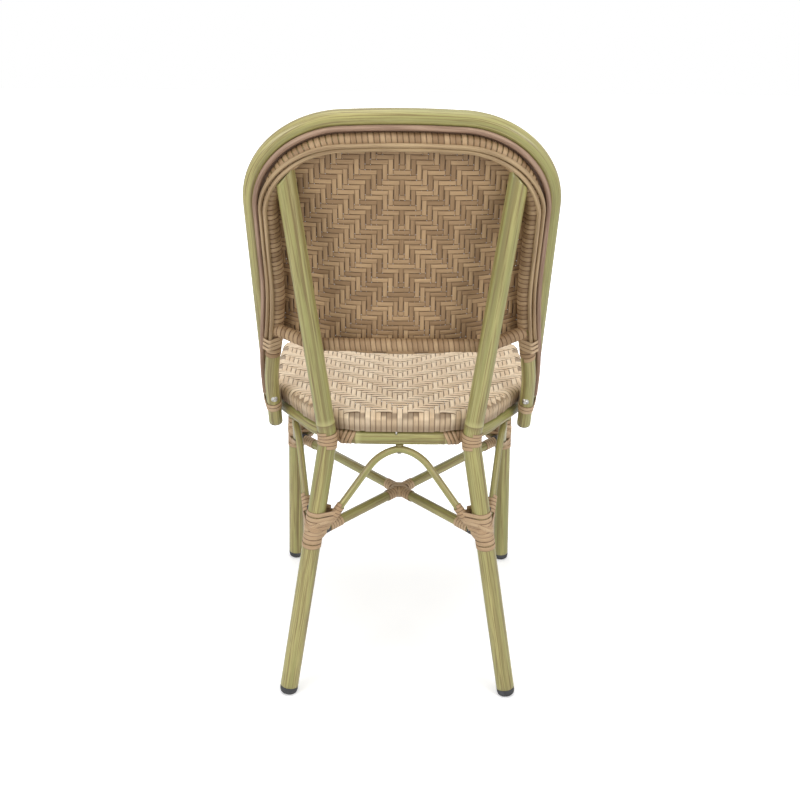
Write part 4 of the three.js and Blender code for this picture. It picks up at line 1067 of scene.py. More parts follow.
def crossing_winding(start, end, other_side, above, reach):
    """Turns on both arms of a bar beside the crossing, and loops over its middle."""
    ahead = toward(start, end)
    line = np.array([CROSSING - ahead * CROSS_ARM, CROSSING + ahead * CROSS_ARM])
    strips = []
    for place in (-CROSS_BINDING_START - CROSS_TURNS * CROSS_PITCH, CROSS_BINDING_START):
        arm = winding_places(line, CROSS_ARM + place, CROSS_TURNS, reach, UP * above, CROSS_PITCH)
        strips.append(wound(*arm, most=NARROW))
    angle = np.linspace(0, 2 * math.pi + CROSS_LAP, STRIP_STEPS)
    wide, tall = np.cos(angle), np.sin(angle)
    along = np.cross(UP, other_side)
    lift = reach + CROSS_LIFT * (1 + above) + CROSS_LAP_RISE * angle
    outs = unit(np.outer(wide, other_side) + np.outer(tall, UP) * CROSS_FACING)
    for place in CROSS_LOOPS:
        half = CROSS_HALF + abs(place) * CROSS_LOOP_GROWTH
        points = (CROSSING + along * place + np.outer(rounded_square(wide) * half, other_side)
                  + np.outer(rounded_square(tall) * lift, UP))
        strips.append((points, outs, 0, NARROW))
    return strips


# Woven surfaces

PANEL_LOW = RAIL_HEIGHT - RAIL_RADIUS
PANEL_TOP = INNER_LEFT[-1][2]
PANEL_MOST_BACK = RAIL_PLACE - RAIL_RADIUS - HOOP_GAP - PANEL_BEHIND_RAIL
PANEL_BOW = (PANEL_MOST_BACK - inner_hoop_at(PANEL_LOW)[1]) / HOOP_REAR[1] + PANEL_SINK


def panel_point(x, height):
    """The middle of the back panel at a side and a height of its edge."""
    edge = inner_hoop_at(height)
    free = np.maximum(edge[..., 0] - HOOP_RADIUS - HOOP_GAP, 1)
    fade = np.clip(1 - (height - PANEL_LOW) / (PANEL_TOP - PANEL_LOW), 0, 1) ** PANEL_FADE_POWER
    bow = PANEL_BOW * fade * (1 - np.minimum(np.abs(x) / free, 1) ** PANEL_BOW_POWER)
    at = edge + np.multiply.outer(bow - PANEL_SINK, HOOP_REAR)
    at[..., 0] = x
    return at


def panel_out(x, height):
    """Which way the panel faces, to the rear."""
    delta = 0.5
    side = panel_point(x + delta, height) - panel_point(x - delta, height)
    rise = panel_point(x, np.minimum(height + delta, PANEL_TOP)) - panel_point(x, height - delta)
    return unit(np.cross(rise, side))


def panel_strip(x, height, wave):
    """A strip of the back panel at a fixed side or a fixed height."""
    x, height = (np.array(values, float) for values in np.broadcast_arrays(x, height))
    return panel_point(x, height), panel_out(x, height), wave, 1


def back_strips(column_pitch, row_pitch):
    """Standing and lying strips of the back, which part at the middle of the chair."""
    climb = HOOP_UP[2] * row_pitch
    low = PANEL_LOW + WEAVE_RISE
    edge_height = INNER_LEFT[:, 2]
    edge_side = INNER_LEFT[:, 0] - HOOP_RADIUS + PANEL_LAP
    framed = edge_height >= PANEL_LOW
    columns, rows = [], []
    reach = int(edge_side[framed].max() // column_pitch)
    for column in range(-reach, reach + 1):
        x = column * column_pitch
        tall = edge_height[framed & (edge_side >= abs(x))]
        if len(tall) == 0 or tall.max() - PANEL_LOW < SHORTEST_STRIP:
            continue
        heights = np.arange(low, tall.max(), climb / WEAVE_STEPS)
        phase = (abs(column) + (heights - low) / climb + 0.5) / WEAVE_REPEAT
        columns.append(panel_strip(x, heights, -wave_of(phase)))
    for row in range(int((PANEL_TOP - 1 - low) // climb) + 1):
        height = low + row * climb
        half = np.interp(height, edge_height, edge_side)
        xs = np.linspace(-half, half, max(int(2 * half / column_pitch * WEAVE_STEPS), FEWEST_POINTS))
        rows.append(panel_strip(xs, height, wave_of((np.abs(xs) / column_pitch + row + 0.5) / WEAVE_REPEAT)))
    return columns, rows


PAD_MIDDLE = (RING_REAR + RING_FRONT) / 2


def ring_distance(points):
    """Distance of level points from the ring's line, above nought outside it."""
    starts = RING_LOOP[:, :2]
    runs = np.roll(starts, -1, axis=0) - starts
    squares = np.maximum(np.sum(runs ** 2, axis=1), TINY)
    rel = points[:, None, :2] - starts[None]
    share = np.clip(np.sum(rel * runs, axis=2) / squares, 0, 1)
    gaps = rel - share[..., None] * runs
    distance = np.sqrt(np.min(np.sum(gaps ** 2, axis=2), axis=1))
    cross = runs[None, :, 0] * rel[..., 1] - runs[None, :, 1] * rel[..., 0]
    inside = np.all(cross <= ON_LINE, axis=1)
    return np.where(inside, -distance, distance)


RIM_TURN = np.unwrap(np.arctan2(RING_LOOP[:, 1] - PAD_MIDDLE, RING_LOOP[:, 0]))
RIM_REACH = np.hypot(RING_LOOP[:, 0], RING_LOOP[:, 1] - PAD_MIDDLE)


def seat_height(points):
    """Height of the woven seat over level points, with how far inside its rim they lie."""
    inside = PAD_OVERHANG - ring_distance(points)
    edge_share = np.clip(inside / PAD_EDGE_ROUND, 0, 1)
    round_edge = PAD_EDGE_ROUND * np.sqrt(np.maximum(1 - (1 - edge_share) ** 2, 0))
    turn = np.arctan2(points[:, 1] - PAD_MIDDLE, points[:, 0])
    order = np.argsort(RIM_TURN % (2 * math.pi))
    reach = np.interp(turn % (2 * math.pi), (RIM_TURN % (2 * math.pi))[order], RIM_REACH[order],
                      period=2 * math.pi)
    share = np.clip(np.hypot(points[:, 0], points[:, 1] - PAD_MIDDLE) / reach, 0, 1)
    crown = PAD_CROWN * (1 - share ** 2)
    return PAD_EDGE_HEIGHT - PAD_EDGE_ROUND + round_edge + crown * edge_share, inside


def rim_out(points):
    """Level direction away from the middle of the seat, square to its rim."""
    delta = 0.5
    slopes = [ring_distance(points + step) - ring_distance(points - step)
              for step in (np.array([delta, 0, 0]), np.array([0, delta, 0]))]
    return unit(np.stack(slopes + [np.zeros(len(points))], axis=1))


def seat_strip(fixed, along, step, wave_at):
    """One strip of the seat in an upright plane: up the rim, over the dome and down again."""
    def level_points(places):
        points = np.zeros((len(places), 3))
        points[:, along], points[:, 1 - along] = places, fixed
        return points

    span = np.arange(-SEAT_SPAN, SEAT_SPAN, SEAT_PLACE_STEP)
    inside = PAD_OVERHANG - ring_distance(level_points(span))
    within = span[inside > RIM_EDGE]
    if len(within) * SEAT_PLACE_STEP < SHORTEST_SEAT_STRIP:
        return None
    low, high = within[0], within[-1]
    goes_down = np.abs(rim_out(level_points((low, high)))[:, along]) >= RIM_FACING
    tucked = span[inside > RIM_TUCK_INSIDE]
    if not goes_down[0]:
        low = tucked[0]
    if not goes_down[-1]:
        high = tucked[-1]
    quick = np.linspace(0, 1, RIM_ZONE_STEPS) ** 2 * RIM_ZONE
    middle = np.arange(low + RIM_ZONE + 1, high - RIM_ZONE - SEAT_PLACE_STEP, SEAT_PLACE_STEP)
    level = level_points(np.concatenate([low + quick, middle, (high - quick)[::-1]]))
    level[:, 2], inside = seat_height(level)
    edge = np.clip(inside / PAD_EDGE_ROUND, 0, 1)
    flat = rim_out(level)
    bent = flat * (1 - edge)[:, None] + UP * np.sqrt(np.maximum(1 - (1 - edge) ** 2, 0))[:, None]
    room = np.clip(1 / np.maximum(np.abs(flat[:, along]), 0.5), 1, RIM_ROOMIEST)
    near_rim = np.clip((RIM_FULL - inside) / RIM_WIDENING_RUN, 0, 1)
    widths = 1 + (room - 1) * (1 - edge) + RIM_WIDENING * near_rim
    falls = []
    for k in (0, -1):
        down = np.arange(level[k][2] - 1, PAD_RIM_HEIGHT - RIM_END_ROOM, -step)
        down = down if goes_down[k] else down[:0]
        drop = np.repeat(level[k][None], len(down), axis=0)
        drop[:, 2] = down
        tuck = np.clip((PAD_EDGE_HEIGHT - PAD_EDGE_ROUND - down) / PAD_RIM_TUCK_RUN, 0, 1) * PAD_RIM_TUCK
        drop -= flat[k] * tuck[:, None]
        falls.append((drop, np.repeat(flat[k][None], len(down), axis=0), np.full(len(down), widths[k])))
    points, outs, widths = (np.concatenate([first[::-1], over, last])
                            for first, over, last in zip(falls[0], (level, unit(bent), widths), falls[1]))
    walked = lengths_along(points)
    stations = np.linspace(0, walked[-1], math.ceil(walked[-1] / step))
    even = at_lengths(points, stations)
    outs = unit(np.stack([np.interp(stations, walked, outs[:, k]) for k in range(3)], axis=1))
    # Down the rim the wave is drawn low: this lowers the strips and, through their finish, paints shade on
    # them, darkest at the rim's foot
    on_rim = ease(PAD_EDGE_HEIGHT - even[:, 2], RIM_WAVE_START, RIM_WAVE_RUN)
    foot = ease(PAD_EDGE_HEIGHT - PAD_EDGE_ROUND - even[:, 2], 0, RIM_ZONE)
    wave = blend(wave_at(even), -RIM_DIP_AND_SHADE - RIM_FOOT_DIP_AND_SHADE * foot, on_rim)
    return even, outs, wave, np.interp(stations, walked, widths)


def seat_strips(column_pitch, row_pitch):
    """Strips from front to rear and from side to side, which part at the middle of the chair."""
    def wave(points):
        place = np.abs(points[:, 0]) / column_pitch + (points[:, 1] - PAD_MIDDLE) / row_pitch
        return wave_of((place + 0.5) / WEAVE_REPEAT)

    room = PAD_OVERHANG - RIM_ROOM
    reach = int((RING_SIDE_HALF + room) // column_pitch)
    low = math.ceil((RING_FRONT - room - PAD_MIDDLE) / row_pitch)
    high = math.floor((RING_REAR + room - PAD_MIDDLE) / row_pitch)
    columns = [seat_strip(column * column_pitch, 1, row_pitch / WEAVE_STEPS, lambda at: -wave(at))
               for column in range(-reach, reach + 1)]
    rows = [seat_strip(PAD_MIDDLE + row * row_pitch, 0, column_pitch / WEAVE_STEPS, wave)
            for row in range(low, high + 1)]
    return [strip for strip in columns if strip], [strip for strip in rows if strip]


# Finishes

class Finish:
    """A procedural material and the few kinds of nodes that the chair's finishes need."""

    def __init__(self, name):
        self.material = bpy.data.materials.get(name)
        self.made = self.material is not None
        if self.made:
            return
        self.material = bpy.data.materials.new(name)
        self.material.use_nodes = True
        self.tree = self.material.node_tree
        self.surface = self.tree.nodes["Principled BSDF"]

    def node(self, kind, inputs=None, **settings):
        return make_node(self.tree, kind, inputs, **settings)

    def set_surface(self, **inputs):
        """Gives the surface its inputs, whose names are given with an underscore for each space."""
        for name, value in inputs.items():
            socket = self.surface.inputs[name.replace("_", " ")]
            if isinstance(value, bpy.types.NodeSocket):
                self.tree.links.new(value, socket)
            else:
                socket.default_value = value

    def maths(self, operation, a, b=0):
        return self.node("ShaderNodeMath", {0: a, 1: b}, operation=operation).outputs[0]

    def times(self, a, b):
        return self.maths("MULTIPLY", a, b)

    def plus(self, a, b):
        return self.maths("ADD", a, b)

    def mix(self, share, a, b):
        inputs = {0: share, 6: a, 7: b}
        return self.node("ShaderNodeMix", inputs, data_type="RGBA").outputs[2]

    def over(self, base, shade, mask, strength):
        """A base with another colour over it where a mask is, as strongly as given."""
        return self.mix(self.times(mask, strength), base, colour(shade))

    def band(self, value, low, high):
        """Rises smoothly from 0 to 1 between two values, or falls if they are given high to low."""
        inputs = {"Value": value, "From Min": low, "From Max": high}
        return self.node("ShaderNodeMapRange", inputs, interpolation_type="SMOOTHSTEP").outputs[0]

    def noise(self, vector, scale, detail=2, roughness=0.5):
        inputs = {"Vector": vector, "Scale": scale, "Detail": detail, "Roughness": roughness}
        return self.node("ShaderNodeTexNoise", inputs).outputs["Fac"]

    def place(self, x, y, z):
        return self.node("ShaderNodeCombineXYZ", {"X": x, "Y": y, "Z": z}).outputs[0]

    def attribute(self, name):
        return self.node("ShaderNodeAttribute", attribute_name=name).outputs["Fac"]

    def uv(self):
        place = self.node("ShaderNodeUVMap", uv_map="UVMap").outputs[0]
        parts = self.node("ShaderNodeSeparateXYZ", {0: place}).outputs
        return parts["X"], parts["Y"]

    def round_noise(self, around, along, scale, detail, roughness=0.5):
        """Noise on a tube, changing as finely around it and along it as given."""
        u, v = self.uv()
        turn = self.times(v, 2 * math.pi)
        x, y = self.maths("COSINE", turn), self.maths("SINE", turn)
        place = self.place(self.times(x, around), self.times(y, around), self.times(u, along))
        return self.noise(place, scale, detail, roughness)

    def finished(self, base, grain, rough, rough_change, relief, strength, depth):
        """The material with its base colour, a roughness that changes with its grain, and a relief."""
        bump = self.node("ShaderNodeBump", {"Height": relief, "Strength": strength, "Distance": depth})
        self.set_surface(Base_Color=base, Roughness=self.plus(rough, self.times(grain, rough_change)),
                         Normal=bump.outputs[0])
        return self.material


def colour(values):
    return (*values, 1)


def bamboo_finish(look):
    """Painted metal tube with lengthwise streaks and the rings of bamboo joints."""
    f = Finish("Bamboo paint")
    if f.made:
        return f.material
    wander = f.noise(f.node("ShaderNodeNewGeometry").outputs["Position"], scale=3, detail=1)
    broad = f.round_noise(around=1, along=2.4, scale=1.1, detail=2)
    fine = f.round_noise(around=5, along=7, scale=1.6, detail=4, roughness=0.6)
    fibre = f.round_noise(around=16, along=22, scale=1.5, detail=3, roughness=0.6)
    shade = f.round_noise(around=1.5, along=1.2, scale=1.3, detail=1)
    tone = f.band(f.plus(f.times(broad, 0.8), f.times(wander, 0.3)), low=0.42, high=0.68)
    streak = f.band(f.plus(fine, f.times(broad, 0.35)), low=0.62, high=0.84)
    base = f.mix(tone, colour(look.tube_green), colour(look.tube_yellow))
    base = f.over(base, look.tube_brown, streak, strength=0.75)
    base = f.over(base, look.tube_brown, f.band(shade, low=0.47, high=0.66), strength=0.55)
    base = f.over(base, look.tube_brown, f.band(fibre, low=0.5, high=0.75), strength=0.22)

    # A joint is a dark line, with a pale band past it and a brown smear before it, in metres
    joint = f.attribute("joint")
    line = f.band(f.maths("ABSOLUTE", joint), low=0.0016, high=0.0004)
    glow = f.times(f.band(joint, low=0.012, high=0.001), f.band(joint, low=-0.0002, high=0.0006))
    smear = f.times(f.band(joint, low=-0.010, high=-0.0005), f.band(joint, low=0.0004, high=-0.0004))
    base = f.over(base, look.tube_pale, glow, strength=0.55)
    base = f.over(base, look.tube_brown, smear, strength=0.4)
    base = f.over(base, look.tube_brown, line, strength=0.55)
    f.set_surface(Coat_Weight=0.25, Coat_Roughness=0.25)
    return f.finished(base, fibre, rough=0.3, rough_change=0.16, relief=f.plus(f.times(fibre, 0.5), fine),
                      strength=0.25, depth=0.0006)


def strip_finish(name, light, dark, edge, rough=0.47):
    """Split cane: fibres along each strip, its own tint, painted shade on its rims and painted shade in its
    dips.
    """
    # The edge colour darkens the fibres, and is also the colour of the painted shade on the rims and in the
    # dips
    f = Finish(name)
    if f.made:
        return f.material
    u, v = f.uv()
    tint = f.attribute("tint")
    own = f.times(tint, 37)
    fibre = f.noise(f.place(f.times(u, 30), f.times(v, 9), own), scale=2.2, detail=3, roughness=0.65)
    patch = f.noise(f.place(f.times(u, 16), own, v), scale=1, detail=2)
    tone = f.plus(f.times(tint, 0.45), f.times(patch, 0.6))
    base = f.mix(f.band(tone, low=0.2, high=0.85), colour(light), colour(dark))
    base = f.over(base, edge, f.band(fibre, low=0.45, high=0.75), strength=0.4)
    # Painted shade: the rims of each strip are darkened, standing in for the shadow in the gaps between
    # strips
    base = f.over(base, edge, f.band(f.maths("ABSOLUTE", v), low=0.36, high=0.49), strength=0.8)
    # Painted shade: where a strip dips under its neighbours, and down the seat's rim, it is darkened
    base = f.over(base, edge, f.band(f.attribute("wave"), low=0.2, high=-0.9), strength=0.6)
    return f.finished(base, fibre, rough, rough_change=0.18, relief=fibre, strength=0.35, depth=0.0004)


def cane_finish(name, light, dark):
    """Round cane with long fibres."""
    f = Finish(name)
    if f.made:
        return f.material
    fibre = f.round_noise(around=4, along=9, scale=1.7, detail=4, roughness=0.6)
    patch = f.round_noise(around=1, along=11, scale=1.2, detail=2)
    base = f.mix(f.band(patch, low=0.35, high=0.7), colour(light), colour(dark))
    base = f.over(base, dark, f.band(fibre, low=0.5, high=0.72), strength=0.45)
    return f.finished(base, fibre, rough=0.42, rough_change=0.15, relief=fibre, strength=0.3, depth=0.0005)


def rubber_finish(look):
    """Black rubber with a fine grain and pale scuffs."""
    f = Finish("Black rubber")
    if f.made:
        return f.material
    place = f.node("ShaderNodeTexCoord").outputs["Object"]
    scuff = f.noise(place, scale=45, detail=3)
    pale = [min(1, value * RUBBER_SCUFF) for value in look.rubber]
    base = f.mix(f.band(scuff, low=0.5, high=0.75), colour(look.rubber), colour(pale))
    return f.finished(base, scuff, rough=0.5, rough_change=0.25, relief=f.noise(place, scale=900),
                      strength=0.2, depth=0.0003)


def steel_finish(look):
    """Plated steel, dull in patches and lightly scratched."""
    f = Finish("Bolt steel")
    if f.made:
        return f.material
    place = f.node("ShaderNodeTexCoord").outputs["Object"]
    scratch = f.noise(place, scale=700, detail=3)
    dull = f.band(f.noise(place, scale=120), low=0.4, high=0.7)
    f.set_surface(Metallic=1)
    return f.finished(f.mix(dull, colour(look.steel), DULL_STEEL), scratch, rough=0.22, rough_change=0.2,
                      relief=scratch, strength=0.12, depth=0.0002)


# Settings

def length_setting(name, description, millimetres):
    return bpy.props.FloatProperty(name=name, description=description, default=millimetres * MM, min=0.0001,
                                   subtype="DISTANCE", unit="LENGTH", precision=4)


def colour_setting(name, description, red, green, blue):
    """A colour given as it shows on a screen, kept as linear light by the usual sRGB curve."""
    linear = [((value / 255 + 0.055) / 1.055) ** 2.4 for value in (red, green, blue)]
    return bpy.props.FloatVectorProperty(name=name, description=description, default=linear, size=3,
                                         min=0, max=1, subtype="COLOR")


class BistroFrameSettings(bpy.types.PropertyGroup):
    leg_radius: length_setting("Leg radius", "Radius of the legs and back posts", LEG_RADIUS)
    ring_radius: length_setting("Ring radius", "Radius of the seat ring", RING_RADIUS)
    hoop_radius: length_setting("Hoop radius", "Radius of both hoops of the back", HOOP_RADIUS)
    bar_radius: length_setting("Stretcher radius", "Radius of the crossed stretchers", BAR_RADIUS)
    arch_radius: length_setting("Arch radius", "Radius of the small arches", ARCH_RADIUS)
    filler_radius: length_setting("Filler radius", "Radius of the cane between the hoops", FILLER_RADIUS)
    cane_radius: length_setting("Trim cane radius", "Radius of the canes beside the weave", CANE_RADIUS)
    sides: bpy.props.IntProperty(name="Sides", description="Faces round a tube", default=TUBE_SIDES,
                               min=8, max=64)


class BistroWeaveSettings(bpy.types.PropertyGroup):
    back_column_pitch: length_setting("Back column pitch", "Spacing of the standing strips", 7.7)
    back_row_pitch: length_setting("Back row pitch", "Spacing of the lying strips", 7.3)
    back_strip: length_setting("Back strip width", "Width of a strip of the back", 7.1)
    seat_column_pitch: length_setting("Seat column pitch", "Spacing of the strips from front to rear", 8.0)
    seat_row_pitch: length_setting("Seat row pitch", "Spacing of the strips from side to side", 7.6)
    seat_strip: length_setting("Seat strip width", "Width of a strip of the seat", 7.4)
    thickness: length_setting("Strip thickness", "Thickness of a woven strip", 1.1)
    wave: length_setting("Wave height", "How far a strip rises over another", 0.7)
    uneven: length_setting("Uneven lay", "How unevenly the strips lie", 0.5)
    seed: bpy.props.IntProperty(name="Seed", description="Choice of the strips' tints", default=7, min=0)


class BistroBindingSettings(bpy.types.PropertyGroup):
    thickness: length_setting("Strip thickness", "Thickness of a binding strip", 1.0)
    wrap_pitch: length_setting("Wrap pitch", "Spacing of the turns on the inner hoop and rail", 7.6)
    uneven: length_setting("Uneven lay", "How unevenly the turns lie", 0.35)
    seed: bpy.props.IntProperty(name="Seed", description="Choice of the strips' tints", default=11, min=0)


class BistroLookSettings(bpy.types.PropertyGroup):
    tube_green: colour_setting("Tube green", "Green parts of the bamboo paint", 152, 150, 90)
    tube_yellow: colour_setting("Tube yellow", "Yellow parts of the bamboo paint", 180, 171, 109)
    tube_brown: colour_setting("Tube brown", "Streaks and joints of the bamboo paint", 116, 96, 56)
    tube_pale: colour_setting("Tube pale", "Pale bands beside the joints", 190, 184, 126)
    back_light: colour_setting("Back light", "Pale strips of the back", 184, 152, 112)
    back_dark: colour_setting("Back dark", "Deep strips of the back", 140, 110, 76)
    # Colour of the fibres, and of the painted shade on the rims and in the dips of the back strips
    back_grain_and_shade: colour_setting("Back grain and shade", "Rims and dips of the back strips", 70, 48, 26)
    seat_light: colour_setting("Seat light", "Pale strips of the seat", 238, 216, 184)
    seat_dark: colour_setting("Seat dark", "Deep strips of the seat", 216, 188, 152)
    # Colour of the fibres, and of the painted shade on the rims and in the dips of the seat strips
    seat_grain_and_shade: colour_setting("Seat grain and shade", "Rims and dips of the seat strips", 84, 58, 32)
    binding_light: colour_setting("Binding light", "Pale strips of the bindings", 204, 177, 141)
    binding_dark: colour_setting("Binding dark", "Deep strips of the bindings", 178, 146, 110)
    # Colour of the fibres, and of the painted shade on the rims of the binding, wrap and groove strips
    binding_grain_and_shade: colour_setting("Binding grain and shade", "Rims of the binding strips", 96, 66, 40)
    wrap_light: colour_setting("Wrap light", "Pale turns on the inner hoop and rail", 186, 156, 118)
    wrap_dark: colour_setting("Wrap dark", "Deep turns on the inner hoop and rail", 144, 114, 80)
    cane_light: colour_setting("Cane light", "Pale parts of the trim canes", 180, 154, 116)
    cane_dark: colour_setting("Cane dark", "Deep parts of the trim canes", 140, 114, 82)
    filler_light: colour_setting("Filler light", "Pale parts of the filler cane", 172, 143, 120)
    filler_dark: colour_setting("Filler dark", "Deep parts of the filler cane", 134, 105, 86)
    rubber: colour_setting("Rubber", "Foot caps and plugs", 58, 58, 60)
    steel: colour_setting("Steel", "Bolts and screws", 205, 203, 198)


def power_setting(name, description, watts):
    return bpy.props.FloatProperty(name=name, description=description, default=watts, min=0, subtype="POWER",
                                   unit="POWER")


def angle_setting(name, description, degrees):
    return bpy.props.FloatProperty(name=name, description=description, default=math.radians(degrees),
                                   subtype="ANGLE", unit="ROTATION")


class BistroStageSettings(bpy.types.PropertyGroup):
    floor: bpy.props.FloatVectorProperty(name="Floor colour", description="Colour of the floor", size=3,
                                         min=0, max=1, default=(0.9, 0.9, 0.9), subtype="COLOR")
    world_strength: bpy.props.FloatProperty(name="Surrounding light", description="Light from all round",
                                            default=0.56, min=0)
    overhead_power: power_setting("Overhead lamp", "Power of the soft lamp above", 23)
    side_power: power_setting("Side lamps", "Power of each lamp beside the camera", 16.5)
    front_power: power_setting("Front lamp", "Power of the soft lamp in front", 7)
    lens: bpy.props.FloatProperty(name="Lens", description="Focal length in millimetres", default=47.25,
                                  min=1)
    pitch: angle_setting("Camera pitch", "How far the camera looks down", 22)
    roll: angle_setting("Camera roll", "Lean of the camera", 0.55)
    distance: length_setting("Camera depth", "How far the camera stands behind the chair", 1585.6)
    height: length_setting("Camera height", "How high the camera stands", 1056)


# Pieces

def length_at_height(line, height):
    """How far along a rising line a height is reached."""
    return float(np.interp(height, line[:, 2], lengths_along(line)))


def slant_cut(points, flip):
    """Draws the top of a back post down its own line, so that it ends just inside the inner hoop."""
    inward, climb = flip(POST_INWARD), flip(toward(KNEE, POST_TOP))
    past = np.minimum((points - flip(POST_MEET) - inward * POST_CUT) @ inward, 0)
    past *= points[:, 2] > POST_MEET[2] - POST_CUT_REACH
    return points - np.outer(past / (climb @ inward), climb)


def build_ring_and_legs(scene):
    sizes, look = scene.bistro_frame, scene.bistro_look
    paint, rubber = bamboo_finish(look), rubber_finish(look)
    leg, sides = sizes.leg_radius / MM, sizes.sides
    ring = np.concatenate([RING_HALF_LINE[::-1], across_chair(RING_HALF_LINE[1:])])
    middle = lengths_along(RING_HALF_LINE)[-1]
    joints = [middle + way * place for way in (-1, 1) for place in RING_JOINTS]
    tube_piece("ring", ring, sizes.ring_radius / MM, paint, ["seat_ring"], sides=sides, joints=joints)
    for suffix, flip, start in SIDES:
        line = flip(REAR_LEG_LINE)
        shape = Shape()
        add_tube(shape, line, leg, sides, [length_at_height(line, POST_JOINT_HEIGHT)], start=start)
        shape.points[0] = slant_cut(shape.points[0], flip)
        shape_piece("rear_leg_tube_" + suffix, shape, paint, ["rear_leg_" + suffix])
    for suffix, flip, start in SIDES:
        tube_piece("front_leg_tube_" + suffix, flip(FRONT_LEG_LINE), leg, paint, ["front_leg_" + suffix],
                   sides=sides, start=start + FRONT_LEG_PAINT)
    for suffix, flip, _ in SIDES:
        side = flip(point(1, 0, 0))
        base = flip(on_rear_leg(SCREW_HEIGHT)) + side * LEG_RADIUS
        turned_piece("leg_screw_cover_" + suffix, SCREW_PROFILE, base, side, rubber, [],
                     SCREW_SIDES)


def build_foot_caps(scene):
    """Rubber caps that follow their legs and are cut flat by the floor."""
    rubber = rubber_finish(scene.bistro_look)
    scale = scene.bistro_frame.leg_radius / MM / LEG_RADIUS
    profile = [(radius * scale, height) for radius, height in CAP_PROFILE]
    for place, foot, top in (("rear", REAR_FOOT_AT, KNEE), ("front", FRONT_FOOT_AT, FRONT_LEG_TOP)):
        for suffix, flip, _ in SIDES:
            name = f"{place}_cap_{suffix}"
            shape = turned_shape(profile, flip(foot), flip(toward(foot, top)), CAP_SIDES)
            mesh = close_up(shape.mesh(name))
            for vertex in mesh.vertices:
                vertex.co.z = max(vertex.co.z, 0)
            make_object(name, mesh, rubber, [f"{place}_foot_cap_{suffix}"])


def build_stretchers(scene):
    radius, paint = scene.bistro_frame.bar_radius / MM, bamboo_finish(scene.bistro_look)
    bars = (("long", BAR_REAR, LONG_END), ("rear", HALF_REAR_START, CROSSING), ("front", BAR_FRONT, CROSSING))
    for (place, start, end), paint_start in zip(bars, BAR_PAINTS):
        tube_piece("stretcher_tube_" + place, np.array([start, end]), radius, paint,
                   ["stretcher_bar_" + place], start=paint_start)


def build_arches(scene):
    radius, look = scene.bistro_frame.arch_radius / MM, scene.bistro_look
    paint, steel = bamboo_finish(look), steel_finish(look)
    arches = [("rear", "", REAR_APEX, REAR_ARCH_FOOT, across_chair(REAR_ARCH_FOOT)),
              ("front", "", FRONT_APEX, FRONT_ARCH_FOOT, across_chair(FRONT_ARCH_FOOT))]
    arches += [("side", "_" + suffix, *flip([SIDE_APEX, REAR_ARCH_FOOT, FRONT_ARCH_FOOT]))
               for suffix, flip, _ in SIDES]
    for i, (place, suffix, apex, *feet) in enumerate(arches):
        tube_piece(f"{place}_arch{suffix}_tube", arch_line(apex, *feet), radius, paint,
                   [f"{place}_arch{suffix}"], sides=THIN_SIDES, start=ARCH_PAINT + ARCH_PAINT_STEP * i)
        turned_piece(f"{place}_washer{suffix}", SPACER_PROFILE, apex + UP * ARCH_RADIUS, UP, paint,
                     [f"{place}_arch_spacer{suffix}"])
        head = apex - UP * (ARCH_RADIUS + ARCH_BOLT_GAP)
        turned_piece(f"{place}_arch_screw{suffix}", ARCH_BOLT_PROFILE, head, UP, steel,
                     [f"{place}_arch_bolt{suffix}"], BOLT_SIDES)


def build_hoops(scene):
    sizes, look = scene.bistro_frame, scene.bistro_look
    paint, rubber, steel = bamboo_finish(look), rubber_finish(look), steel_finish(look)
    radius = sizes.hoop_radius / MM
    hoops = (("outer", OUTER_HOOP_LINE, OUTER_HOOP_PAINT), ("inner", INNER_HOOP_LINE, INNER_HOOP_PAINT))
    for place, line, start in hoops:
        tube_piece(place + "_hoop_tube", line, radius, paint, [place + "_hoop"], sides=sizes.sides,
                   start=start)
    plug = [(share * radius / HOOP_RADIUS, height) for share, height in PLUG_PROFILE]
    outer, inner = (at_rise(line, SIDE_BOLT_PLACE) for _, line, _ in hoops)
    ahead = toward(inner, outer)
    head = inner - ahead * (HOOP_RADIUS - HOOP_BOLT_SINK)
    for suffix, flip, _ in SIDES:
        for place, line, _ in hoops:
            end, beyond = flip(line[:2])
            turned_piece(f"{place}_plug_{suffix}", plug, end, toward(end, beyond), rubber,
                         [f"{place}_hoop_plug_{suffix}"], PLUG_SIDES)
        turned_piece("hoop_screw_" + suffix, HOOP_BOLT_PROFILE, flip(head), flip(ahead), steel,
                     ["hoop_bolt_" + suffix], PLUG_SIDES)


def build_canes(scene):
    sizes, look = scene.bistro_frame, scene.bistro_look
    trim = cane_finish("Trim cane", look.cane_light, look.cane_dark)
    filler = cane_finish("Filler cane", look.filler_light, look.filler_dark)
    for name, line, radius, material, node in (
            ("groove_cane", FILLER_LINE, sizes.filler_radius, filler, "filler_cane"),
            ("edge_cane_outer", OUTER_CANE_LINE, sizes.cane_radius, trim, "outer_trim_cane"),
            ("edge_cane_inner", INNER_CANE_LINE, sizes.cane_radius, trim, "inner_trim_cane")):
        tube_piece(name, line, radius / MM, material, [node], "trim_cane", end=ROUND_END, sides=CANE_SIDES)
    line = beside_hoop(FLAT_START, lambda rise: np.multiply(inner_offset(rise), FLAT_SHARE))
    strip = (line, np.broadcast_to(HOOP_REAR, line.shape), 0, 1)
    material = strip_finish("Groove strip", look.filler_light, look.filler_dark, look.binding_grain_and_shade)
    sizes = (FLAT_WIDTH * MM, FLAT_THICKNESS * MM, 0, 0)
    strip_piece("groove_strip", [strip], sizes, material, [], FLAT_SEED)


def by_turn(points, outs, steps):
    """A winding as one strip for each turn, so that each turn has its own tint."""
    spans = [slice(i, i + steps + 1) for i in range(0, len(points) - steps // 2, steps)]
    return [(points[span], outs[span], 0, 1) for span in spans]


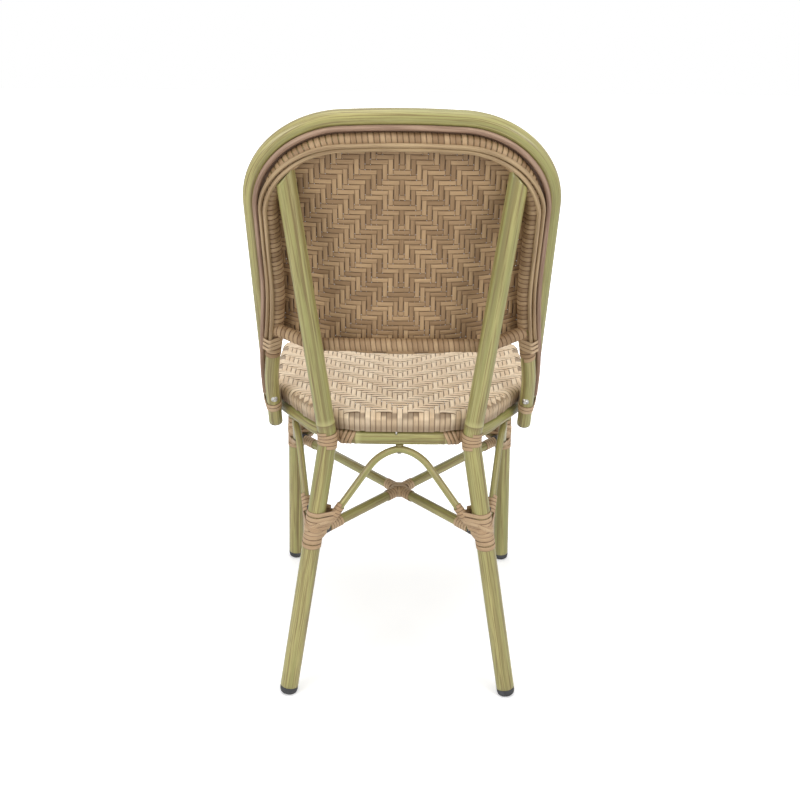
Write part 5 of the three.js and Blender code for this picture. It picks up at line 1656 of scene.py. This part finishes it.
def build_wraps(scene):
    """The bottom rail, and the strips wound all along it and along the upper part of the inner hoop."""
    look, strip = scene.bistro_look, scene.bistro_binding
    material = strip_finish("Wrap strip", look.wrap_light, look.wrap_dark, look.binding_grain_and_shade)
    half, pitch = strip.thickness / MM / 2, strip.wrap_pitch / MM
    sizes = (strip.wrap_pitch - WRAP_SPACE * MM, strip.thickness, 0, strip.uneven)
    tube_piece("rail_tube", RAIL_LINE, RAIL_RADIUS - RAIL_TUBE_SINK, bamboo_finish(look), [],
               sides=SEAT_TUBE_SIDES)
    wraps = (
        ("rail_wrap", RAIL_LINE, RAIL_WRAP_START, RAIL_RADIUS + half - RAIL_WRAP_SINK, RAIL_WRAP_STEPS,
         ["back_bottom_rail"]),
        ("hoop_wrap", INNER_HOOP_LINE, length_at_height(INNER_LEFT, RAIL_HEIGHT - HOOP_WRAP_BELOW),
         HOOP_RADIUS + half - HOOP_WRAP_SINK, HOOP_WRAP_STEPS, []),
    )
    for i, (name, line, start, reach, steps, nodes) in enumerate(wraps):
        count = (lengths_along(line)[-1] - 2 * start) / pitch
        places = winding_places(line, start, count, reach, -HOOP_REAR, pitch, steps)
        strip_piece(name, by_turn(*places, steps), sizes, material, nodes, strip.seed + i)


def build_bindings(scene):
    strip, look = scene.bistro_binding, scene.bistro_look
    material = strip_finish("Binding strip", look.binding_light, look.binding_dark, look.binding_grain_and_shade,
                            BINDING_ROUGH)
    reach = strip.thickness / MM / 2 + STRIP_CLEAR
    sizes = ((STRIP_PITCH - STRIP_SPACE) * MM, strip.thickness, 0, strip.uneven)
    knee_line = bent_line([(POST_TOP, 0), (KNEE, KNEE_BEND), (REAR_FOOT_AT, 0)])
    knee_start = np.linalg.norm(POST_TOP - at_height(KNEE, POST_TOP, KNEE_BINDING_TOP))
    knee = winding_places(knee_line, knee_start, KNEE_TURNS, reach + LEG_RADIUS, point(0, 1, 0), KNEE_PITCH)
    rear_arches = [arch_side(apex, REAR_ARCH_FOOT)[::-1] for apex in (REAR_APEX, SIDE_APEX)]
    front_arches = [arch_side(apex, FRONT_ARCH_FOOT)[::-1] for apex in (FRONT_APEX, SIDE_APEX)]

    def bar_end(root):
        line = np.array([root, CROSSING])
        return [wound(*winding_places(line, BAR_BINDING_START, BAR_TURNS, reach + BAR_RADIUS, UP, BAR_PITCH))]

    pairs = {
        "rear_leg_binding": leg_lashing(on_rear_leg, rear_arches, reach),
        "front_leg_binding": leg_lashing(on_front_leg, front_arches, reach),
        "knee_binding": [wound(*knee)],
        "ring_binding": [leaning_turn(RING_HALF_LINE, KNEE_LENGTH - RING_BINDING_NEAR - place, lean,
                                      reach + RING_RADIUS + over, UP) for place, lean, over in RING_TURNS],
        "side_binding_upper": [side_winding(reach)],
        "side_binding_lower": [hoop_feet_winding(reach + HOOP_RADIUS)],
        "rear_bar_binding": bar_end(BAR_REAR),
        "front_bar_binding": bar_end(BAR_FRONT),
    }
    for i, (name, strips) in enumerate(pairs.items()):
        for suffix, made in (("left", strips), ("right", [mirrored_strip(one) for one in strips])):
            strip_piece(f"{name}_strip_{suffix}", made, sizes, material, [f"{name}_{suffix}"],
                        strip.seed + i)
    for place, start, end, side, above in (("upper", BAR_REAR, LONG_END, point(1, 0, 0), 1),
                                           ("lower", HALF_REAR_START, BAR_FRONT, point(0, 1, 0), -1)):
        loops = crossing_winding(start, end, side, above, reach + BAR_RADIUS)
        strip_piece(f"cross_binding_{place}_strip", loops, sizes, material, ["cross_binding_" + place],
                    strip.seed + CROSS_SEED)
    rubber = rubber_finish(look)
    for place, root in (("rear", BAR_REAR), ("front", BAR_FRONT)):
        for suffix, flip, _ in SIDES:
            ahead = flip(toward(root, CROSSING))
            turned_piece(f"{place}_bar_sleeve_{suffix}", SLEEVE_PROFILE, flip(root), ahead, rubber, [])


def build_back_weave(scene):
    weave, look = scene.bistro_weave, scene.bistro_look
    material = strip_finish("Back weave strips", look.back_light, look.back_dark, look.back_grain_and_shade)
    columns, rows = back_strips(weave.back_column_pitch / MM, weave.back_row_pitch / MM)
    sizes = (weave.back_strip, weave.thickness, weave.wave, weave.uneven)
    strip_piece("back_standing_strips", columns, sizes, material, ["back_panel"], weave.seed)
    strip_piece("back_lying_strips", rows, sizes, material, [], weave.seed + 1)


def build_seat_weave(scene):
    weave, look = scene.bistro_weave, scene.bistro_look
    material = strip_finish("Pale weave strips", look.seat_light, look.seat_dark, look.seat_grain_and_shade)
    columns, rows = seat_strips(weave.seat_column_pitch / MM, weave.seat_row_pitch / MM)
    sizes = (weave.seat_strip, weave.thickness, weave.wave, weave.uneven)
    strip_piece("seat_long_strips", columns, sizes, material, ["seat_pad"], weave.seed + 2)
    strip_piece("seat_cross_strips", rows, sizes, material, [], weave.seed + 3)


def build_seat_frame(scene):
    """The tube frame that stands on the ring inside the weave, and the stud at the weave's rear edge."""
    spacing = RING_RADIUS + SEAT_TUBE_RADIUS + HOOP_GAP
    height = RING_HEIGHT + math.sqrt(spacing ** 2 - SEAT_TUBE_INSET ** 2)
    run = headings(RING_HALF_LINE)
    line = RING_HALF_LINE - np.stack([-run[:, 1], run[:, 0], 0 * run[:, 0]], axis=1) * SEAT_TUBE_INSET
    line[:, 2] = height
    line[[0, -1], 0] = 0
    shape = Shape()
    loop = np.concatenate([line[::-1], across_chair(line[1:])])
    add_tube(shape, loop, SEAT_TUBE_RADIUS, SEAT_TUBE_SIDES, start=SEAT_TUBE_PAINT)
    for place in SEAT_BAR_PLACES:
        at = point(ring_at(place)[0] - SEAT_TUBE_INSET, place, height)
        add_tube(shape, np.array([at, across_chair(at)]), SEAT_BAR_RADIUS, THIN_SIDES, start=SEAT_BAR_PAINT)
    shape_piece("seat_frame_tube", shape, bamboo_finish(scene.bistro_look), ["seat_frame"])
    low = RING_HEIGHT + RING_RADIUS * CLIP_SHARE
    rise = PAD_RIM_HEIGHT + CLIP_RADIUS - low
    turned_piece("seat_clip_stud", [(0, 0), (CLIP_RADIUS, 0), (CLIP_RADIUS, rise), (0, rise)],
                 point(CLIP_SIDE, RING_REAR + RING_RADIUS * CLIP_SHARE, low), UP,
                 steel_finish(scene.bistro_look), [], STUD_SIDES)


# Stage

def floor_finish(floor):
    """Pale paper that the camera sees as white, apart from the shade close round the chair."""
    f = Finish("Pale floor")
    place = f.node("ShaderNodeNewGeometry").outputs["Position"]
    away = f.node("ShaderNodeVectorMath", {0: place}, operation="LENGTH").outputs["Value"]
    fade = f.node("ShaderNodeMapRange", {"Value": away, **FLOOR_FADE}, interpolation_type="SMOOTHSTEP")
    seen = f.node("ShaderNodeLightPath").outputs["Is Camera Ray"]
    f.set_surface(Base_Color=colour(floor), Roughness=FLOOR_ROUGH, Emission_Color=WHITE,
                  Emission_Strength=f.times(seen, fade.outputs[0]))
    return f.material


def studio_world(strength):
    """Soft light from all round, with white behind the chair for the camera and for gloss."""
    world = bpy.data.worlds.new("Studio")
    world.use_nodes = True
    tree = world.node_tree
    soft = tree.nodes["Background"]
    soft.inputs["Color"].default_value = WHITE
    soft.inputs["Strength"].default_value = strength
    white = make_node(tree, "ShaderNodeBackground", {"Color": WHITE})
    path = make_node(tree, "ShaderNodeLightPath").outputs
    rays = {0: path["Is Camera Ray"], 1: path["Is Glossy Ray"]}
    seen = make_node(tree, "ShaderNodeMath", rays, operation="MAXIMUM")
    shaders = {0: seen.outputs[0], 1: soft.outputs[0], 2: white.outputs[0]}
    choose = make_node(tree, "ShaderNodeMixShader", shaders)
    tree.links.new(choose.outputs[0], tree.nodes["World Output"].inputs["Surface"])
    return world


def add_lamp(scene, name, at, aim, size, power):
    """A round soft lamp that faces a point."""
    light = bpy.data.lights.new(name, "AREA")
    light.shape, light.size, light.energy = "DISK", size, power
    away = unit(np.array(at) - np.array(aim))
    side = unit(np.cross((0, 1, 0) if abs(away[2]) > STEEP else UP, away))
    holder = bpy.data.objects.new(name, light)
    holder.location = at
    holder.rotation_euler = Matrix(np.stack([side, np.cross(away, side), away], axis=1).tolist()).to_euler()
    scene.collection.objects.link(holder)


def add_camera(scene, stage):
    view = bpy.data.cameras.new("camera")
    view.lens, view.sensor_width, view.sensor_fit = stage.lens, SENSOR_WIDTH, "HORIZONTAL"
    view.clip_start, view.clip_end = VIEW_NEAR, VIEW_FAR
    camera = bpy.data.objects.new("camera", view)
    camera.location = (0, stage.distance, stage.height)
    turn = (Matrix.Rotation(math.pi, 3, "Z") @ Matrix.Rotation(math.pi / 2 - stage.pitch, 3, "X")
            @ Matrix.Rotation(stage.roll, 3, "Z"))
    camera.rotation_euler = turn.to_euler()
    scene.collection.objects.link(camera)
    scene.camera = camera


def build_stage(scene):
    stage = scene.bistro_stage
    corners = [(x * FLOOR_REACH, y * FLOOR_REACH, 0) for x, y in ((-1, -1), (1, -1), (1, 1), (-1, 1))]
    mesh = bpy.data.meshes.new("floor")
    mesh.from_pydata(corners, [], [(0, 1, 2, 3)])
    mesh.materials.append(floor_finish(stage.floor))
    floor = bpy.data.objects.new("floor", mesh)
    scene.collection.objects.link(floor)
    scene.world = studio_world(stage.world_strength)
    for name, at, aim, size, power in LAMPS:
        add_lamp(scene, name, at, aim, size, getattr(stage, power))
    add_camera(scene, stage)
    scene.view_settings.view_transform = "Standard"


# Add-on

class BISTRO_OT_ring_and_legs(bpy.types.Operator):
    """Make the seat ring, the rear legs with their posts, and the front legs"""
    bl_idname = "bistro.ring_and_legs"
    bl_label = "Seat Ring and Legs"
    bl_options = {"REGISTER", "UNDO"}

    def execute(self, context):
        build_ring_and_legs(context.scene)
        return {"FINISHED"}


class BISTRO_OT_foot_caps(bpy.types.Operator):
    """Make the black caps under the legs"""
    bl_idname = "bistro.foot_caps"
    bl_label = "Foot Caps"
    bl_options = {"REGISTER", "UNDO"}

    def execute(self, context):
        build_foot_caps(context.scene)
        return {"FINISHED"}


class BISTRO_OT_stretchers(bpy.types.Operator):
    """Make the crossed stretchers between the legs"""
    bl_idname = "bistro.stretchers"
    bl_label = "Crossed Stretchers"
    bl_options = {"REGISTER", "UNDO"}

    def execute(self, context):
        build_stretchers(context.scene)
        return {"FINISHED"}


class BISTRO_OT_arches(bpy.types.Operator):
    """Make the small arches under the seat ring with their washers and screws"""
    bl_idname = "bistro.arches"
    bl_label = "Arches"
    bl_options = {"REGISTER", "UNDO"}

    def execute(self, context):
        build_arches(context.scene)
        return {"FINISHED"}


class BISTRO_OT_hoops(bpy.types.Operator):
    """Make both hoops of the back with their plugs and bolts"""
    bl_idname = "bistro.hoops"
    bl_label = "Hoops"
    bl_options = {"REGISTER", "UNDO"}

    def execute(self, context):
        build_hoops(context.scene)
        return {"FINISHED"}


class BISTRO_OT_canes(bpy.types.Operator):
    """Make the cane between the hoops and the canes on the edge of the weave"""
    bl_idname = "bistro.canes"
    bl_label = "Canes"
    bl_options = {"REGISTER", "UNDO"}

    def execute(self, context):
        build_canes(context.scene)
        return {"FINISHED"}


class BISTRO_OT_wraps(bpy.types.Operator):
    """Wind strips along the bottom rail and the inner hoop"""
    bl_idname = "bistro.wraps"
    bl_label = "Wraps"
    bl_options = {"REGISTER", "UNDO"}

    def execute(self, context):
        build_wraps(context.scene)
        return {"FINISHED"}


class BISTRO_OT_bindings(bpy.types.Operator):
    """Wind the bindings of the joints"""
    bl_idname = "bistro.bindings"
    bl_label = "Bindings"
    bl_options = {"REGISTER", "UNDO"}

    def execute(self, context):
        build_bindings(context.scene)
        return {"FINISHED"}


class BISTRO_OT_back_weave(bpy.types.Operator):
    """Weave the back"""
    bl_idname = "bistro.back_weave"
    bl_label = "Back Weave"
    bl_options = {"REGISTER", "UNDO"}

    def execute(self, context):
        build_back_weave(context.scene)
        return {"FINISHED"}


class BISTRO_OT_seat_weave(bpy.types.Operator):
    """Weave the seat"""
    bl_idname = "bistro.seat_weave"
    bl_label = "Seat Weave"
    bl_options = {"REGISTER", "UNDO"}

    def execute(self, context):
        build_seat_weave(context.scene)
        return {"FINISHED"}


class BISTRO_OT_seat_frame(bpy.types.Operator):
    """Make the tube frame under the weave of the seat"""
    bl_idname = "bistro.seat_frame"
    bl_label = "Seat Frame"
    bl_options = {"REGISTER", "UNDO"}

    def execute(self, context):
        build_seat_frame(context.scene)
        return {"FINISHED"}


class BISTRO_OT_stage(bpy.types.Operator):
    """Make the floor, the light and the camera"""
    bl_idname = "bistro.stage"
    bl_label = "Stage"
    bl_options = {"REGISTER", "UNDO"}

    def execute(self, context):
        build_stage(context.scene)
        return {"FINISHED"}


OPERATORS = (
    BISTRO_OT_ring_and_legs,
    BISTRO_OT_foot_caps,
    BISTRO_OT_stretchers,
    BISTRO_OT_arches,
    BISTRO_OT_hoops,
    BISTRO_OT_canes,
    BISTRO_OT_wraps,
    BISTRO_OT_bindings,
    BISTRO_OT_back_weave,
    BISTRO_OT_seat_weave,
    BISTRO_OT_seat_frame,
    BISTRO_OT_stage,
)
SETTINGS = {
    "bistro_frame": BistroFrameSettings,
    "bistro_weave": BistroWeaveSettings,
    "bistro_binding": BistroBindingSettings,
    "bistro_look": BistroLookSettings,
    "bistro_stage": BistroStageSettings,
}


class BISTRO_PT_chair(bpy.types.Panel):
    """Sizes, colours and pieces of the bistro chair"""
    bl_label = "Bistro Chair"
    bl_space_type = "VIEW_3D"
    bl_region_type = "UI"
    bl_category = "Bistro Chair"

    def draw(self, context):
        for name, group in SETTINGS.items():
            box = self.layout.box()
            box.label(text=name.removeprefix("bistro_").capitalize())
            for setting in group.__annotations__:
                box.prop(getattr(context.scene, name), setting)
        for operator in OPERATORS:
            self.layout.operator(operator.bl_idname)


def register():
    for group in SETTINGS.values():
        bpy.utils.register_class(group)
    for name, group in SETTINGS.items():
        setattr(bpy.types.Scene, name, bpy.props.PointerProperty(type=group))
    for operator in OPERATORS:
        bpy.utils.register_class(operator)
    bpy.utils.register_class(BISTRO_PT_chair)


def unregister():
    bpy.utils.unregister_class(BISTRO_PT_chair)
    for operator in reversed(OPERATORS):
        bpy.utils.unregister_class(operator)
    for name in SETTINGS:
        delattr(bpy.types.Scene, name)
    for group in reversed(list(SETTINGS.values())):
        bpy.utils.unregister_class(group)


def main():
    """Makes the whole chair on its frame."""
    register()
    for operator in OPERATORS:
        group, name = operator.bl_idname.split(".")
        getattr(getattr(bpy.ops, group), name)()


if __name__ == "__main__":
    main()
